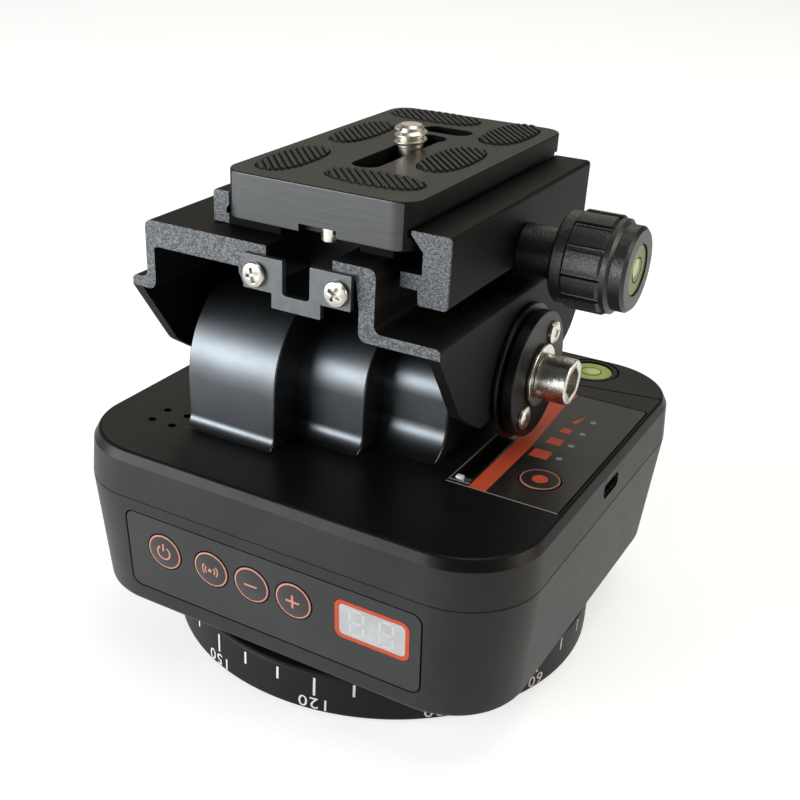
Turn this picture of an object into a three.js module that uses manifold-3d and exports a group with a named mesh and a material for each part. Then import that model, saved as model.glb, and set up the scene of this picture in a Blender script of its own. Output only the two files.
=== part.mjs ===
// Remote pan tilt head: a battery housing that turns on a round dial base, with a
// bracket that tilts over the housing's drum and carries a quick release clamp.
// Millimetres, +Z up. The origin is on the pan axis, on the underside of the base.
import * as THREE from 'three';
import { mergeVertices } from 'three/addons/utils/BufferGeometryUtils.js';
import Module from 'manifold-3d';

const wasm = await Module();
wasm.setup();

// Gaps and overruns
const fit = 0.3; // between two pieces that fit or move together
const seat = 0.1; // under a piece that rests flat on another
const over = 1; // how far a cutter runs past what it cuts
const weld = 0.0001; // vertices closer than this are one vertex
const quarter = Math.PI / 2;
const degree = Math.PI / 180;

// Dial base, which stays still on the tripod
const dial = { radius: 45.6, height: 9.8, wall: 3, plate: 3, edge: 0.8 };
const mountPlate = { thick: 3, recess: 1.3 };
const bush = { radius: 6.3, bore: 4, flange: 8.5, flangeThick: 1.2, height: 12, top: 2 };
const axle = { radius: 9, bore: 6.7, flange: 14, flangeThick: 2 };
const nut = { radius: 12, thick: 2.8, sides: 6 };

// Gears of the pan drive
const gearModule = 0.8;
const panTeeth = 36;
const pinionTeeth = 12;
const gearWidth = 4;
const pressureAngle = 25 * degree;
const gearBacklash = 0.3;
const addendumShare = 0.8;
const dedendumShare = 1.05;
const flankShares = [0, 1];

// Housing: a drafted lower shell and a top cover with the drum moulded on
const housing = { half: 48.5, corner: 15.5, wall: 2.2, shellHeight: 24.9, coverHeight: 7.6, bevel: 2.1 };
const bevelIn = 0.93;
const shellDraft = 3.8 * degree;
const coverDraft = 3.5 * degree;
const footEdge = 1.2;
const panGap = 2.7;
const lip = { height: 1.6, wall: 1.1, root: 1 };
const casePost = { radius: 3, edge: 10 };

// The drum's three steps along X, each a rounded hump with a flared foot
const drumStart = -29.1;
const wideHump = { length: 20.2, half: 30.9, round: 18.4, rise: 28.7, flareOut: 2.4, flareUp: 2.4 };
const middleHump = { length: 14.55, half: 22, round: 12.7, rise: 23.3, flareOut: 3, flareUp: 4 };
const narrowHump = { length: 13.95, half: 14.5, round: 8.6, rise: 19.3, flareOut: 4, flareUp: 8 };
const humps = [wideHump, middleHump, narrowHump];
const drumWall = 2;

// Front panel, on the drafted front of the lower shell
const panel = { side: 9, end: 2.3, height: 17.7, corner: 2, thick: 0.8, drop: 2.8 };
const button = { radius: 3.9, drop: 9.85, proud: 0.4, flange: 0.8, flangeThick: 0.6, stem: 1.5 };
const buttonTravel = 0.4;
const buttonPlaces = { power_button: -23.2, channel_button: -12, minus_button: -2.6, plus_button: 6.8 };
const display = { gap: 9, width: 15.1, height: 8.4, drop: 9.7, thick: 0.8 };
const buttonBoard = { edge: 1.7, height: 13, thick: 1.5, standoff: 0.7, standoffHeight: 2 };
const boardPost = { left: 6.3, right: 2.5 };

// Label, switch, button, level and speaker holes on the top cover. An edge is a
// distance from the side of the housing, and a front or back one from its front or back
const label = { edge: 2.1, width: 22.4, front: -23.4, back: 26, thick: 0.25, corner: 0.8 };
const track = { edge: 22.05, width: 3.7, front: -22, back: -1 };
const slider = { width: 3.1, length: 3, height: 2.6, mark: 1.3, markLength: 2.4, markHeight: 0.4 };
const ring = { edge: 9.6, y: -13.5, radius: 3.8, proud: 0.2, flange: 0.9, flangeThick: 1.1, stem: 1.5 };
const level = { edge: 18.7, backEdge: 8.9, radius: 5.9, wall: 1.1, depth: 3, vialDrop: 0.3 };
const speaker = { edge: 14.6, frontEdge: 17.1, spread: 2.5, hole: 0.8, radius: 5, depth: 4.5 };
const port = { y: 1, width: 7.4, height: 2.5, length: 7.6, wall: 0.4, drop: 5, depth: 5 };
const board = { left: 15, edge: 4.5, half: 27, thick: 1.5, post: 2, inset: 3 };
const switchBody = { margin: 0.9 };

// Drives and battery inside the housing
const bearing = { wall: 2.8, flange: 2.2, flangeThick: 1.2 };
const battery = { edge: 14.5, width: 20, height: 20, corner: 2, wallGap: 1.2 };
const panMotor = { radius: 9.5, height: 16, edge: 1 };
const motorMount = { half: 16.5, depth: 22, thick: 1.6, leg: 11 };
const pinionShaft = 1.5;
const tiltMotor = { radius: 11.5, length: 15.8, edge: 1 };
const tiltGearbox = { radius: 6.4, length: 14.4, nose: 1.4 };

// Tilt axis and what turns on it
const tiltRise = 14.5; // above the top of the cover
const tiltShaft = { radius: 2.2, bore: 1.7 };
const tiltBush = { wall: 1, flange: 6, flangeThick: 1.8 };
const pivot = { radius: 13.5, thick: 1.6, neck: 9, spigot: 4.6 };
const pivotBolt = { radius: 2.5, head: 5, headHeight: 2.2 };

// Bracket, an aluminium extrusion along Y. Heights are above the tilt axis
const bracket = {
  half: 36.3, top: 27.8, web: 4.8, wall: 1.9, left: -33.5, cheekLeft: -37.1, cheekRight: 27.4,
  cheek: 2.2, shoulder: 16.7, shelf: 2.2, foot: -5.6, legLeft: 11.8, legRight: 14.8,
  edgeRound: 0.8, neckRound: 1, bendRound: 2,
};
const block = {
  left: -12.7, right: 10.6, thick: 7.5, chamferX: 0.9, chamferZ: 1.7, groove: 0.4, grooveDrop: 2.5,
};
const slot = { left: -6.9, right: 6.5, depth: 14.3 };
const cheekEdge = { midHalf: 26.3, midZ: 0.4, lowHalf: 21.1, lowZ: -3, footHalf: 17 };
const stopPlate = { half: 10.9, top: 26.2, low: 20, tabHalf: 5, tab: 2.7, notchHalf: 2.75, thick: 1.1 };
const plateScrew = { x: 8.3, z: 22.8, head: 2.35, headHeight: 1.1, radius: 0.9, length: 7 };

// Drive hub on the right cheek
const hub = {
  rear: 13.4, rearThick: 1, groove: 11, grooveThick: 0.5, front: 12.4, frontThick: 2.2, edge: 0.4,
};
const hubScrew = { y: 5.4, z: 6.9, head: 1.9, headHeight: 0.8, radius: 1.2 };
const washer = { radius: 6.6, thick: 0.8 };
const hubBolt = { head: 4.8, headHeight: 6, radius: 1.4, socket: 3.2, socketDepth: 4.2, edge: 0.4, sides: 6 };
const hubBoltReach = 6;

// Quick release clamp. Heights are above the top of the bracket
const bed = { height: 1.9, gapHalf: 8, right: 14.5, half: 30, bridge: 8 };
const jaw = { half: 31, top: 5.9, tip: 18, tipThick: 0.7, throat: 20.4, throatZ: 2.5, outer: 25.6 };
const tongue = { tip: 16.4, top: -1.3, low: -4.1 };
const jawFoot = { left: 20, low: -6.7, root: 19.7 };
const jawRound = 0.8;
const fixedJaw = { outer: 22.6 };
const clampScrew = { z: -3.8, radius: 2.8, knobDepth: 5 };
const guidePin = { y: 20, z: -2.7, radius: 0.9, inner: 4, outer: 24 };
const knob = {
  neck: 4.7, neckLength: 7.6, rim: 8.4, rimLength: 2.4, grip: 8.9, gripLength: 7.2,
  outerRim: 8.5, outerLength: 1.4, cap: 7.7, capLength: 2.7, edge: 0.5,
};
const flute = { count: 12, width: 1.3, depth: 0.9 };
const knobLevel = { radius: 4.6, depth: 2.9, drop: 0.8 };

// Quick release plate
const plate = { half: 19, halfLength: 32.5, thick: 8.4, corner: 5 };
const vee = { low: 1.4, floorLow: 2.7, floorHigh: 4, high: 4.9, depth: 1.4 };
const channel = { half: 7.2, halfLength: 22, depth: 4.3, corner: 6 };
const plateSlot = { half: 3, front: -17, keyY: 14.5, keyHalf: 5.3, keyHalfLength: 3.85 };
const plateNotch = { left: -2.8, right: 4.7, height: 1.5, depth: 2 };
const pad = { recess: 1, thick: 1.3, gap: 0.25 };
const frontLeftPad = { x: -12.7, y: -18.9, half: 4.3, halfLength: 9.7, along: 'y' };
const frontPad = { x: 6.2, y: -22.6, half: 4.3, halfLength: 9.5, along: 'x' };
const leftPad = { x: -13, y: 6.3, half: 4, halfLength: 10, along: 'y' };
const rightPad = { x: 11, y: -2.6, half: 4.5, halfLength: 10, along: 'y' };
const backPad = { x: -7.4, y: 26.8, half: 4.4, halfLength: 10, along: 'x' };
const backRightPad = { x: 11.5, y: 22, half: 4.5, halfLength: 9.7, along: 'y' };
const padPlaces = [frontLeftPad, frontPad, leftPad, rightPad, backPad, backRightPad];
const cameraScrew = {
  x: 0, y: 1.8, thread: 3.175, rise: 5, shank: 2.6, head: 6, headHeight: 2.5, slotWidth: 1.4, slotDepth: 1,
};
const screwWasher = { radius: 6.7, thick: 0.8 };
const stopScrew = { x: 2.9, y: -29.6, radius: 1.5, drop: 1.1, inside: 4 };

// Steps of the round surfaces
const fine = 40;
const round = 24;
const small = 10;
const hidden = 16;
const cornerSteps = 6;
const curveSteps = 3;

// Heights that follow from the sizes above
const shellZ = dial.height + panGap;
const seamZ = shellZ + housing.shellHeight;
const shoulderZ = seamZ + housing.coverHeight;
const topZ = shoulderZ + housing.bevel;
const floorZ = shellZ + housing.wall;
const ceilingZ = topZ - housing.wall;
const tiltZ = topZ + tiltRise;
const footHalf = housing.half - housing.shellHeight * Math.tan(shellDraft);
const shoulderHalf = housing.half - housing.coverHeight * Math.tan(coverDraft);
const innerHalf = shoulderHalf - housing.wall;

// Places that follow from the first and last button
const displayLeft = buttonPlaces.plus_button + display.gap;
const panelLeft = buttonPlaces.power_button - panel.side;
const panelRight = displayLeft + display.width + panel.end;
const boardPosts = [buttonPlaces.power_button - boardPost.left, displayLeft - boardPost.right];

// Places that follow from the housing's sides
const casePostPlace = housing.half - casePost.edge;
const labelRight = housing.half - label.edge;
const labelLeft = labelRight - label.width;
const trackX = housing.half - track.edge;
const ringX = housing.half - ring.edge;
const levelX = housing.half - level.edge;
const levelY = housing.half - level.backEdge;
const speakerX = speaker.edge - housing.half;
const speakerY = speaker.frontEdge - housing.half;
const boardRight = housing.half - board.edge;
const batteryHalf = housing.half - battery.edge;

// Materials
function finish(color, roughness, metalness) {
  return new THREE.MeshStandardMaterial({ color, roughness, metalness });
}
const materials = {
  casing: finish(0x1b1b1c, 0.5, 0),
  dialPlastic: finish(0x202022, 0.6, 0),
  blackMetal: finish(0x151517, 0.42, 0.6),
  plateMetal: finish(0x1c1d20, 0.35, 0.6),
  stamped: finish(0x6d6e70, 0.4, 0.9),
  nickel: finish(0xd8d4cc, 0.2, 1),
  steel: finish(0x9a9a9c, 0.3, 1),
  rubber: finish(0x0e0e0f, 0.85, 0),
  gloss: finish(0x101113, 0.12, 0),
  labelFilm: finish(0x1f1e1b, 0.4, 0),
  lime: finish(0xb4d422, 0.15, 0),
  paleGrey: finish(0xc8c8c4, 0.5, 0),
  circuit: finish(0x23452e, 0.6, 0),
  brass: finish(0xb59a4c, 0.35, 1),
  cellWrap: finish(0x2f4d7a, 0.5, 0),
};

// Solid modelling: closed geometries in, closed geometries out
function solidOf(geometry) {
  const bare = geometry.clone();
  bare.deleteAttribute('normal');
  bare.deleteAttribute('uv');
  const merged = mergeVertices(bare, weld);
  const place = merged.attributes.position;
  const corners = merged.index.array;
  const triangles = [];
  let volume = 0;
  const a = new THREE.Vector3();
  const b = new THREE.Vector3();
  const c = new THREE.Vector3();
  for (let i = 0; i < corners.length; i += 3) {
    const [p, q, r] = [corners[i], corners[i + 1], corners[i + 2]];
    if (p === q || q === r || r === p) continue;
    a.fromBufferAttribute(place, p);
    b.fromBufferAttribute(place, q);
    c.fromBufferAttribute(place, r);
    volume += a.dot(b.cross(c));
    triangles.push([p, q, r]);
  }
  if (volume < 0) triangles.forEach((triangle) => triangle.reverse());
  return new wasm.Manifold(new wasm.Mesh({
    numProp: 3,
    vertProperties: new Float32Array(place.array),
    triVerts: new Uint32Array(triangles.flat()),
  }));
}

function geometryOf(solid) {
  const mesh = solid.getMesh();
  const geometry = new THREE.BufferGeometry();
  geometry.setAttribute('position', new THREE.BufferAttribute(new Float32Array(mesh.vertProperties), 3));
  geometry.setIndex(new THREE.BufferAttribute(new Uint32Array(mesh.triVerts), 1));
  geometry.computeVertexNormals();
  return geometry;
}

function joined(...geometries) {
  return geometryOf(geometries.map(solidOf).reduce((sum, next) => sum.add(next)));
}

function cut(geometry, ...cutters) {
  return geometryOf(cutters.map(solidOf).reduce((rest, next) => rest.subtract(next), solidOf(geometry)));
}

function common(first, second) {
  return geometryOf(solidOf(first).intersect(solidOf(second)));
}

function piece(parent, name, geometry, material) {
  const mesh = new THREE.Mesh(geometryOf(solidOf(geometry)), material);
  mesh.name = name;
  parent.add(mesh);
  return mesh;
}

// Turns local Z to world X, with local X to Y and local Y to Z
const toX = new THREE.Matrix4().makeBasis(
  new THREE.Vector3(0, 1, 0), new THREE.Vector3(0, 0, 1), new THREE.Vector3(1, 0, 0));

function box(x0, x1, y0, y1, z0, z1) {
  const geometry = new THREE.BoxGeometry(x1 - x0, y1 - y0, z1 - z0);
  return geometry.translate((x0 + x1) / 2, (y0 + y1) / 2, (z0 + z1) / 2);
}

// A solid of revolution about Z. Each point is [radius, height]
function turned(points, steps = round) {
  const profile = points.map(([r, z]) => new THREE.Vector2(r, z));
  return new THREE.LatheGeometry(profile, steps).rotateX(quarter);
}

function ringSolid(inner, outer, z0, z1, steps = round) {
  return turned([[inner, z0], [outer, z0], [outer, z1], [inner, z1], [inner, z0]], steps);
}

function disc(radius, z0, z1, steps = round) {
  return turned([[0, z0], [radius, z0], [radius, z1], [0, z1]], steps);
}

function alongX(geometry) {
  return geometry.applyMatrix4(toX);
}

function prism(shape, z0, z1) {
  const geometry = new THREE.ExtrudeGeometry(shape, {
    depth: z1 - z0, bevelEnabled: false, curveSegments: curveSteps,
  });
  return geometry.translate(0, 0, z0);
}

// A section drawn in X and Z, carried along Y from y0 to y1
function alongY(shape, y0, y1) {
  return prism(shape, -y1, -y0).rotateX(quarter);
}

// A section drawn in Y and Z, carried along X from x0 to x1
function sectionX(shape, x0, x1) {
  return alongX(prism(shape, x0, x1));
}

function polygon(points) {
  return new THREE.Shape(points.map(([x, y]) => new THREE.Vector2(x, y)));
}

function roundedRect(x0, x1, y0, y1, corner) {
  const shape = new THREE.Shape();
  shape.moveTo(x0 + corner, y0);
  shape.lineTo(x1 - corner, y0);
  shape.absarc(x1 - corner, y0 + corner, corner, -quarter, 0, false);
  shape.lineTo(x1, y1 - corner);
  shape.absarc(x1 - corner, y1 - corner, corner, 0, quarter, false);
  shape.lineTo(x0 + corner, y1);
  shape.absarc(x0 + corner, y1 - corner, corner, quarter, 2 * quarter, false);
  shape.lineTo(x0, y0 + corner);
  shape.absarc(x0 + corner, y0 + corner, corner, 2 * quarter, 3 * quarter, false);
  return shape;
}

// A rounded square that changes size with height. Each level is [half width, height]
function squareLoft(levels) {
  const positions = [];
  const index = [];
  const perRing = 4 * (cornerSteps + 1);
  for (const [half, z] of levels) {
    const corner = housing.corner - (housing.half - half);
    const centre = half - corner;
    for (let side = 0; side < 4; side += 1) {
      const cx = side === 0 || side === 3 ? centre : -centre;
      const cy = side < 2 ? centre : -centre;
      for (let step = 0; step <= cornerSteps; step += 1) {
        const angle = (side + step / cornerSteps) * quarter;
        positions.push(cx + corner * Math.cos(angle), cy + corner * Math.sin(angle), z);
      }
    }
  }
  for (let ringIndex = 0; ringIndex < levels.length - 1; ringIndex += 1) {
    for (let i = 0; i < perRing; i += 1) {
      const a = ringIndex * perRing + i;
      const b = ringIndex * perRing + (i + 1) % perRing;
      index.push(a, b, b + perRing, a, b + perRing, a + perRing);
    }
  }
  const last = (levels.length - 1) * perRing;
  for (let i = 1; i < perRing - 1; i += 1) {
    index.push(0, i + 1, i, last, last + i, last + i + 1);
  }
  const geometry = new THREE.BufferGeometry();
  geometry.setAttribute('position', new THREE.Float32BufferAttribute(positions, 3));
  geometry.setIndex(index);
  return geometry;
}

// Outline of a spur gear with involute flanks, a tooth centred on local X
function gearShape(teeth) {
  const pitch = gearModule * teeth / 2;
  const base = pitch * Math.cos(pressureAngle);
  const tip = pitch + gearModule * addendumShare;
  const root = pitch - gearModule * dedendumShare;
  const involute = (radius) => {
    const roll = Math.sqrt(Math.max(0, (radius / base) ** 2 - 1));
    return roll - Math.atan(roll);
  };
  const halfTooth = (Math.PI * gearModule / 2 - gearBacklash / 2) / 2 / pitch + involute(pitch);
  const start = Math.max(base, root);
  const flank = flankShares.map((share) => start + (tip - start) * share);
  const rightSide = [root, ...flank]
    .map((radius) => [radius, -(halfTooth - involute(Math.max(radius, base)))]);
  const leftSide = rightSide.map(([radius, angle]) => [radius, -angle]).reverse();
  const points = [];
  for (let tooth = 0; tooth < teeth; tooth += 1) {
    const centre = 2 * Math.PI * tooth / teeth;
    for (const [radius, angle] of [...rightSide, ...leftSide]) {
      points.push([radius * Math.cos(centre + angle), radius * Math.sin(centre + angle)]);
    }
  }
  return polygon(points);
}

const head = new THREE.Group();

// Dial base and what is fixed to it
const gearZ = floorZ + seat + bearing.flangeThick + fit;
const nutZ = gearZ + gearWidth + seat;

function buildBase(parent) {
  const { radius, height, wall, edge } = dial;
  const deckZ = height - dial.plate;
  piece(parent, 'dial_base', turned([
    [radius - edge, 0], [radius, edge], [radius, height - edge], [radius - edge, height],
    [axle.radius + fit, height], [axle.radius + fit, deckZ], [radius - wall, deckZ],
    [radius - wall, 0], [radius - edge, 0],
  ], fine), materials.dialPlastic);
  piece(parent, 'mount_plate', turned([
    [bush.flange + fit, 0], [radius - wall - fit, 0], [radius - wall - fit, mountPlate.thick],
    [bush.radius + fit, mountPlate.thick], [bush.radius + fit, mountPlate.recess],
    [bush.flange + fit, mountPlate.recess], [bush.flange + fit, 0],
  ], fine), materials.blackMetal);
  piece(parent, 'tripod_bush', turned([
    [bush.bore, 0], [bush.flange, 0], [bush.flange, bush.flangeThick], [bush.radius, bush.flangeThick],
    [bush.radius, bush.height], [0, bush.height], [0, bush.height - bush.top],
    [bush.bore, bush.height - bush.top], [bush.bore, 0],
  ], hidden), materials.steel);
  const flangeTop = deckZ - seat;
  piece(parent, 'pan_axle', turned([
    [axle.bore, mountPlate.thick + seat], [axle.radius, mountPlate.thick + seat],
    [axle.radius, flangeTop - axle.flangeThick], [axle.flange, flangeTop - axle.flangeThick],
    [axle.flange, flangeTop], [axle.radius, flangeTop], [axle.radius, nutZ + nut.thick],
    [axle.bore, nutZ + nut.thick], [axle.bore, mountPlate.thick + seat],
  ], hidden), materials.steel);
  const gear = prism(gearShape(panTeeth), gearZ, gearZ + gearWidth);
  piece(parent, 'pan_gear', cut(gear, disc(axle.radius + fit, gearZ - over, gearZ + gearWidth + over)),
    materials.brass);
  const hexagon = disc(nut.radius, nutZ, nutZ + nut.thick, nut.sides);
  piece(parent, 'axle_nut', cut(hexagon, disc(axle.radius + fit, nutZ - over, nutZ + nut.thick + over)),
    materials.steel);
}

// Frame of the front panel: X across, Y up the drafted wall, Z out of the wall
const frontFrame = new THREE.Group();
frontFrame.position.set(0, -housing.half, seamZ);
frontFrame.rotation.x = quarter + shellDraft;
frontFrame.updateMatrix();

function onFront(geometry) {
  return geometry.applyMatrix4(frontFrame.matrix);
}

const panelRect = {
  left: panelLeft, right: panelRight, low: -panel.drop - panel.height, high: -panel.drop,
};
const displayRect = {
  left: displayLeft, right: displayLeft + display.width,
  low: -display.drop - display.height / 2, high: -display.drop + display.height / 2,
};
const pocketDepth = panel.thick + seat;

function grownRect(rect, grow, z0, z1, corner) {
  const { left, right, low, high } = rect;
  return prism(roundedRect(left - grow, right + grow, low - grow, high + grow, corner), z0, z1);
}

function buildLowerShell(parent) {
  const outer = squareLoft([
    [footHalf - footEdge, shellZ], [footHalf, shellZ + footEdge], [housing.half, seamZ],
  ]);
  const inner = squareLoft([
    [footHalf - housing.wall, floorZ], [housing.half - housing.wall, seamZ],
    [housing.half - housing.wall, seamZ + over],
  ]);
  const lipOuter = innerHalf - fit;
  const lipRing = cut(
    squareLoft([[lipOuter + lip.root, seamZ - lip.height - lip.root], [lipOuter + lip.root, seamZ - lip.root],
      [lipOuter, seamZ - lip.root], [lipOuter, seamZ + lip.height]]),
    squareLoft([[lipOuter - lip.wall, seamZ - lip.height - lip.root - over],
      [lipOuter - lip.wall, seamZ + lip.height + over]]));
  const cutters = [disc(axle.radius + bearing.wall + fit + fit, shellZ - over, floorZ + over)];
  cutters.push(onFront(grownRect(panelRect, fit, -pocketDepth, over, panel.corner)));
  for (const x of Object.values(buttonPlaces)) {
    const hole = disc(button.radius + button.flange + fit, -housing.wall - over, over, small);
    cutters.push(onFront(hole.translate(x, -button.drop, 0)));
  }
  cutters.push(onFront(grownRect(displayRect, fit, -housing.wall - over, over, panel.thick)));
  const posts = [];
  for (const x of [-casePostPlace, casePostPlace]) {
    for (const y of [-casePostPlace, casePostPlace]) {
      posts.push(disc(casePost.radius, floorZ - over, seamZ - seat, small).translate(x, y, 0));
    }
  }
  const standoffBack = -housing.wall - buttonBoard.standoffHeight;
  const standoffs = boardPosts.map((x) => onFront(box(
    x - buttonBoard.standoff, x + buttonBoard.standoff, -button.drop - buttonBoard.standoff,
    -button.drop + buttonBoard.standoff, standoffBack, -pocketDepth - seat)));
  const shell = cut(joined(cut(outer, inner), lipRing, ...posts, ...standoffs), ...cutters);
  piece(parent, 'lower_shell', shell, materials.casing);
}

// Outline of one drum step in Y and Z, drawn inward by the inset
function humpShape(size, inset, footZ) {
  const wall = size.half - inset;
  const radius = size.round - inset;
  const arcY = wall - radius;
  const arcZ = topZ + size.rise - size.round;
  const shape = new THREE.Shape();
  if (inset > 0) {
    shape.moveTo(-wall, footZ);
  } else {
    shape.moveTo(-wall - size.flareOut, footZ);
    shape.lineTo(-wall - size.flareOut, topZ);
    shape.absellipse(-wall - size.flareOut, topZ + size.flareUp, size.flareOut, size.flareUp,
      -quarter, 0, false);
  }
  shape.lineTo(-wall, arcZ);
  shape.absarc(-arcY, arcZ, radius, 2 * quarter, quarter, true);
  shape.lineTo(arcY, arcZ + radius);
  shape.absarc(arcY, arcZ, radius, quarter, 0, true);
  if (inset > 0) {
    shape.lineTo(wall, footZ);
  } else {
    shape.lineTo(wall, topZ + size.flareUp);
    shape.absellipse(wall + size.flareOut, topZ + size.flareUp, size.flareOut, size.flareUp,
      2 * quarter, 3 * quarter, false);
    shape.lineTo(wall + size.flareOut, footZ);
  }
  return shape;
}

const portZ = topZ - port.drop;
const boardTopZ = portZ - port.height / 2 - seat;

function buildTopCover(parent) {
  const outer = squareLoft([
    [housing.half, seamZ + seat], [shoulderHalf, shoulderZ], [shoulderHalf - bevelIn, topZ],
  ]);
  const inner = squareLoft([
    [housing.half - housing.wall, seamZ - over], [housing.half - housing.wall, seamZ + seat],
    [innerHalf, ceilingZ],
  ]);
  const solids = [];
  const hollows = [];
  let x = drumStart;
  humps.forEach((size, i) => {
    const first = i === 0 ? x + drumWall : x - drumWall;
    solids.push(sectionX(humpShape(size, 0, ceilingZ), i === 0 ? x : x - drumWall, x + size.length));
    hollows.push(sectionX(humpShape(size, drumWall, ceilingZ - over), first, x + size.length - drumWall));
    x += size.length;
  });
  const posts = [];
  for (const px of [-casePostPlace, casePostPlace]) {
    for (const py of [-casePostPlace, casePostPlace]) {
      posts.push(disc(casePost.radius, seamZ + seat, ceilingZ + over / 2, small).translate(px, py, 0));
    }
  }
  for (const px of [board.left + board.inset, boardRight - board.inset]) {
    for (const py of [-board.half + board.inset, board.half - board.inset]) {
      posts.push(disc(board.post, boardTopZ + seat, ceilingZ + over / 2, small).translate(px, py, 0));
    }
  }
  const recess = roundedRect(labelLeft - seat, labelRight + seat, label.front - seat, label.back + seat,
    label.corner);
  const cutters = [
    prism(recess, topZ - label.thick - seat, topZ + over),
    box(trackX - track.width / 2, trackX + track.width / 2, track.front, track.back, ceilingZ - over,
      topZ + over),
    disc(ring.radius + fit, ceilingZ - over, topZ + over, small).translate(ringX, ring.y, 0),
    disc(level.radius + fit, topZ - level.depth - over, topZ + over).translate(levelX, levelY, 0),
    box(innerHalf - over, housing.half + over, port.y - port.width / 2 - fit, port.y + port.width / 2 + fit,
      portZ - port.height / 2 - fit, portZ + port.height / 2 + fit),
    alongX(disc(pivot.spigot + fit, drumStart - over, drumStart + drumWall + over)).translate(0, 0, tiltZ),
    alongX(disc(tiltShaft.radius + fit + tiltBush.wall + fit, x - drumWall - over, x + over))
      .translate(0, 0, tiltZ),
  ];
  for (const dx of [-speaker.spread, speaker.spread]) {
    for (const dy of [-speaker.spread, speaker.spread]) {
      cutters.push(disc(speaker.hole, ceilingZ - over, topZ + over, small / 2)
        .translate(speakerX + dx, speakerY + dy, 0));
    }
  }
  const cover = cut(joined(cut(outer, inner), ...posts, ...solids), ...hollows, ...cutters);
  piece(parent, 'top_cover', cover, materials.casing);
}

function buildFront(parent) {
  const outline = roundedRect(panelRect.left, panelRect.right, panelRect.low, panelRect.high, panel.corner);
  const holes = Object.values(buttonPlaces).map((x) => (
    disc(button.radius + fit, -panel.thick - over, over, small).translate(x, -button.drop, 0)));
  holes.push(grownRect(displayRect, fit, -panel.thick - over, over, panel.thick));
  piece(parent, 'front_panel', cut(prism(outline, -panel.thick, 0), ...holes), materials.gloss);
  for (const [name, x] of Object.entries(buttonPlaces)) {
    const flangeTop = -pocketDepth - seat;
    const flangeLow = flangeTop - button.flangeThick;
    const stemLow = -housing.wall - buttonBoard.standoffHeight + buttonTravel + fit;
    piece(parent, name, turned([
      [0, stemLow], [button.stem, stemLow], [button.stem, flangeLow],
      [button.radius + button.flange, flangeLow], [button.radius + button.flange, flangeTop],
      [button.radius, flangeTop], [button.radius, button.proud / 2],
      [button.radius - button.proud, button.proud], [0, button.proud],
    ], small), materials.casing).position.set(x, -button.drop, 0);
  }
  piece(parent, 'display_window', grownRect(displayRect, 0, -display.thick, 0, panel.thick),
    materials.gloss);
  const boardTop = -housing.wall - buttonBoard.standoffHeight - seat;
  const boardY = -button.drop;
  piece(parent, 'button_board', joined(
    box(panelLeft + buttonBoard.edge, panelRight - buttonBoard.edge, boardY - buttonBoard.height / 2,
      boardY + buttonBoard.height / 2, boardTop - buttonBoard.thick, boardTop),
    grownRect(displayRect, -fit, boardTop - buttonBoard.thick / 2, -display.thick - seat, panel.thick)),
  materials.circuit);
}

function buildTopParts(parent) {
  const film = prism(roundedRect(labelLeft, labelRight, label.front, label.back, label.corner),
    topZ - label.thick, topZ);
  piece(parent, 'top_label', cut(film,
    box(trackX - track.width / 2, trackX + track.width / 2, track.front, track.back, ceilingZ, topZ + over),
    disc(ring.radius + fit, ceilingZ, topZ + over, small).translate(ringX, ring.y, 0)), materials.labelFilm);
  const sliderLow = ceilingZ - slider.height / 2;
  const sliderY = track.front + fit + slider.length / 2;
  const sliderTop = sliderLow + slider.height;
  piece(parent, 'mode_slider', joined(
    box(trackX - slider.width / 2, trackX + slider.width / 2, sliderY - slider.length / 2,
      sliderY + slider.length / 2, sliderLow, sliderTop),
    box(trackX - slider.mark / 2, trackX + slider.mark / 2, sliderY - slider.markLength / 2,
      sliderY + slider.markLength / 2, sliderTop - slider.markHeight, sliderTop + slider.markHeight)),
  materials.paleGrey);
  const flangeTop = ceilingZ - fit;
  const flangeLow = flangeTop - ring.flangeThick;
  const stemLow = boardTopZ + buttonTravel + fit;
  piece(parent, 'record_button', turned([
    [0, stemLow], [ring.stem, stemLow], [ring.stem, flangeLow], [ring.radius + ring.flange, flangeLow],
    [ring.radius + ring.flange, flangeTop], [ring.radius, flangeTop], [ring.radius, topZ],
    [ring.radius - ring.proud, topZ + ring.proud], [0, topZ + ring.proud],
  ], small), materials.labelFilm).position.set(ringX, ring.y, 0);
  piece(parent, 'level_ring', turned([
    [0, topZ - level.depth], [level.radius, topZ - level.depth], [level.radius, topZ],
    [level.radius - level.wall, topZ], [level.radius - level.wall, topZ - level.depth + level.wall],
    [0, topZ - level.depth + level.wall],
  ]), materials.casing).position.set(levelX, levelY, 0);
  piece(parent, 'level_vial', disc(level.radius - level.wall - seat, topZ - level.depth + level.wall + seat,
    topZ - level.vialDrop), materials.lime).position.set(levelX, levelY, 0);
  const portBody = box(housing.half - port.length, housing.half - fit * 2, port.y - port.width / 2,
    port.y + port.width / 2, portZ - port.height / 2, portZ + port.height / 2);
  const portHollow = box(housing.half - port.depth, housing.half + over,
    port.y - port.width / 2 + port.wall, port.y + port.width / 2 - port.wall,
    portZ - port.height / 2 + port.wall, portZ + port.height / 2 - port.wall);
  piece(parent, 'charge_port', cut(portBody, portHollow), materials.steel);
  piece(parent, 'control_board', joined(
    box(board.left, boardRight, -board.half, board.half, boardTopZ - board.thick, boardTopZ),
    box(trackX - track.width / 2 - switchBody.margin, trackX + track.width / 2 + switchBody.margin,
      track.front - switchBody.margin, track.back + switchBody.margin, boardTopZ - board.thick / 2,
      sliderLow - seat)), materials.circuit);
  piece(parent, 'buzzer', disc(speaker.radius, ceilingZ - seat - speaker.depth, ceilingZ - seat, small),
    materials.casing).position.set(speakerX, speakerY, 0);
}

const pinionY = -gearModule * (panTeeth + pinionTeeth) / 2;
const mountZ = nutZ + nut.thick + fit;

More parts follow.
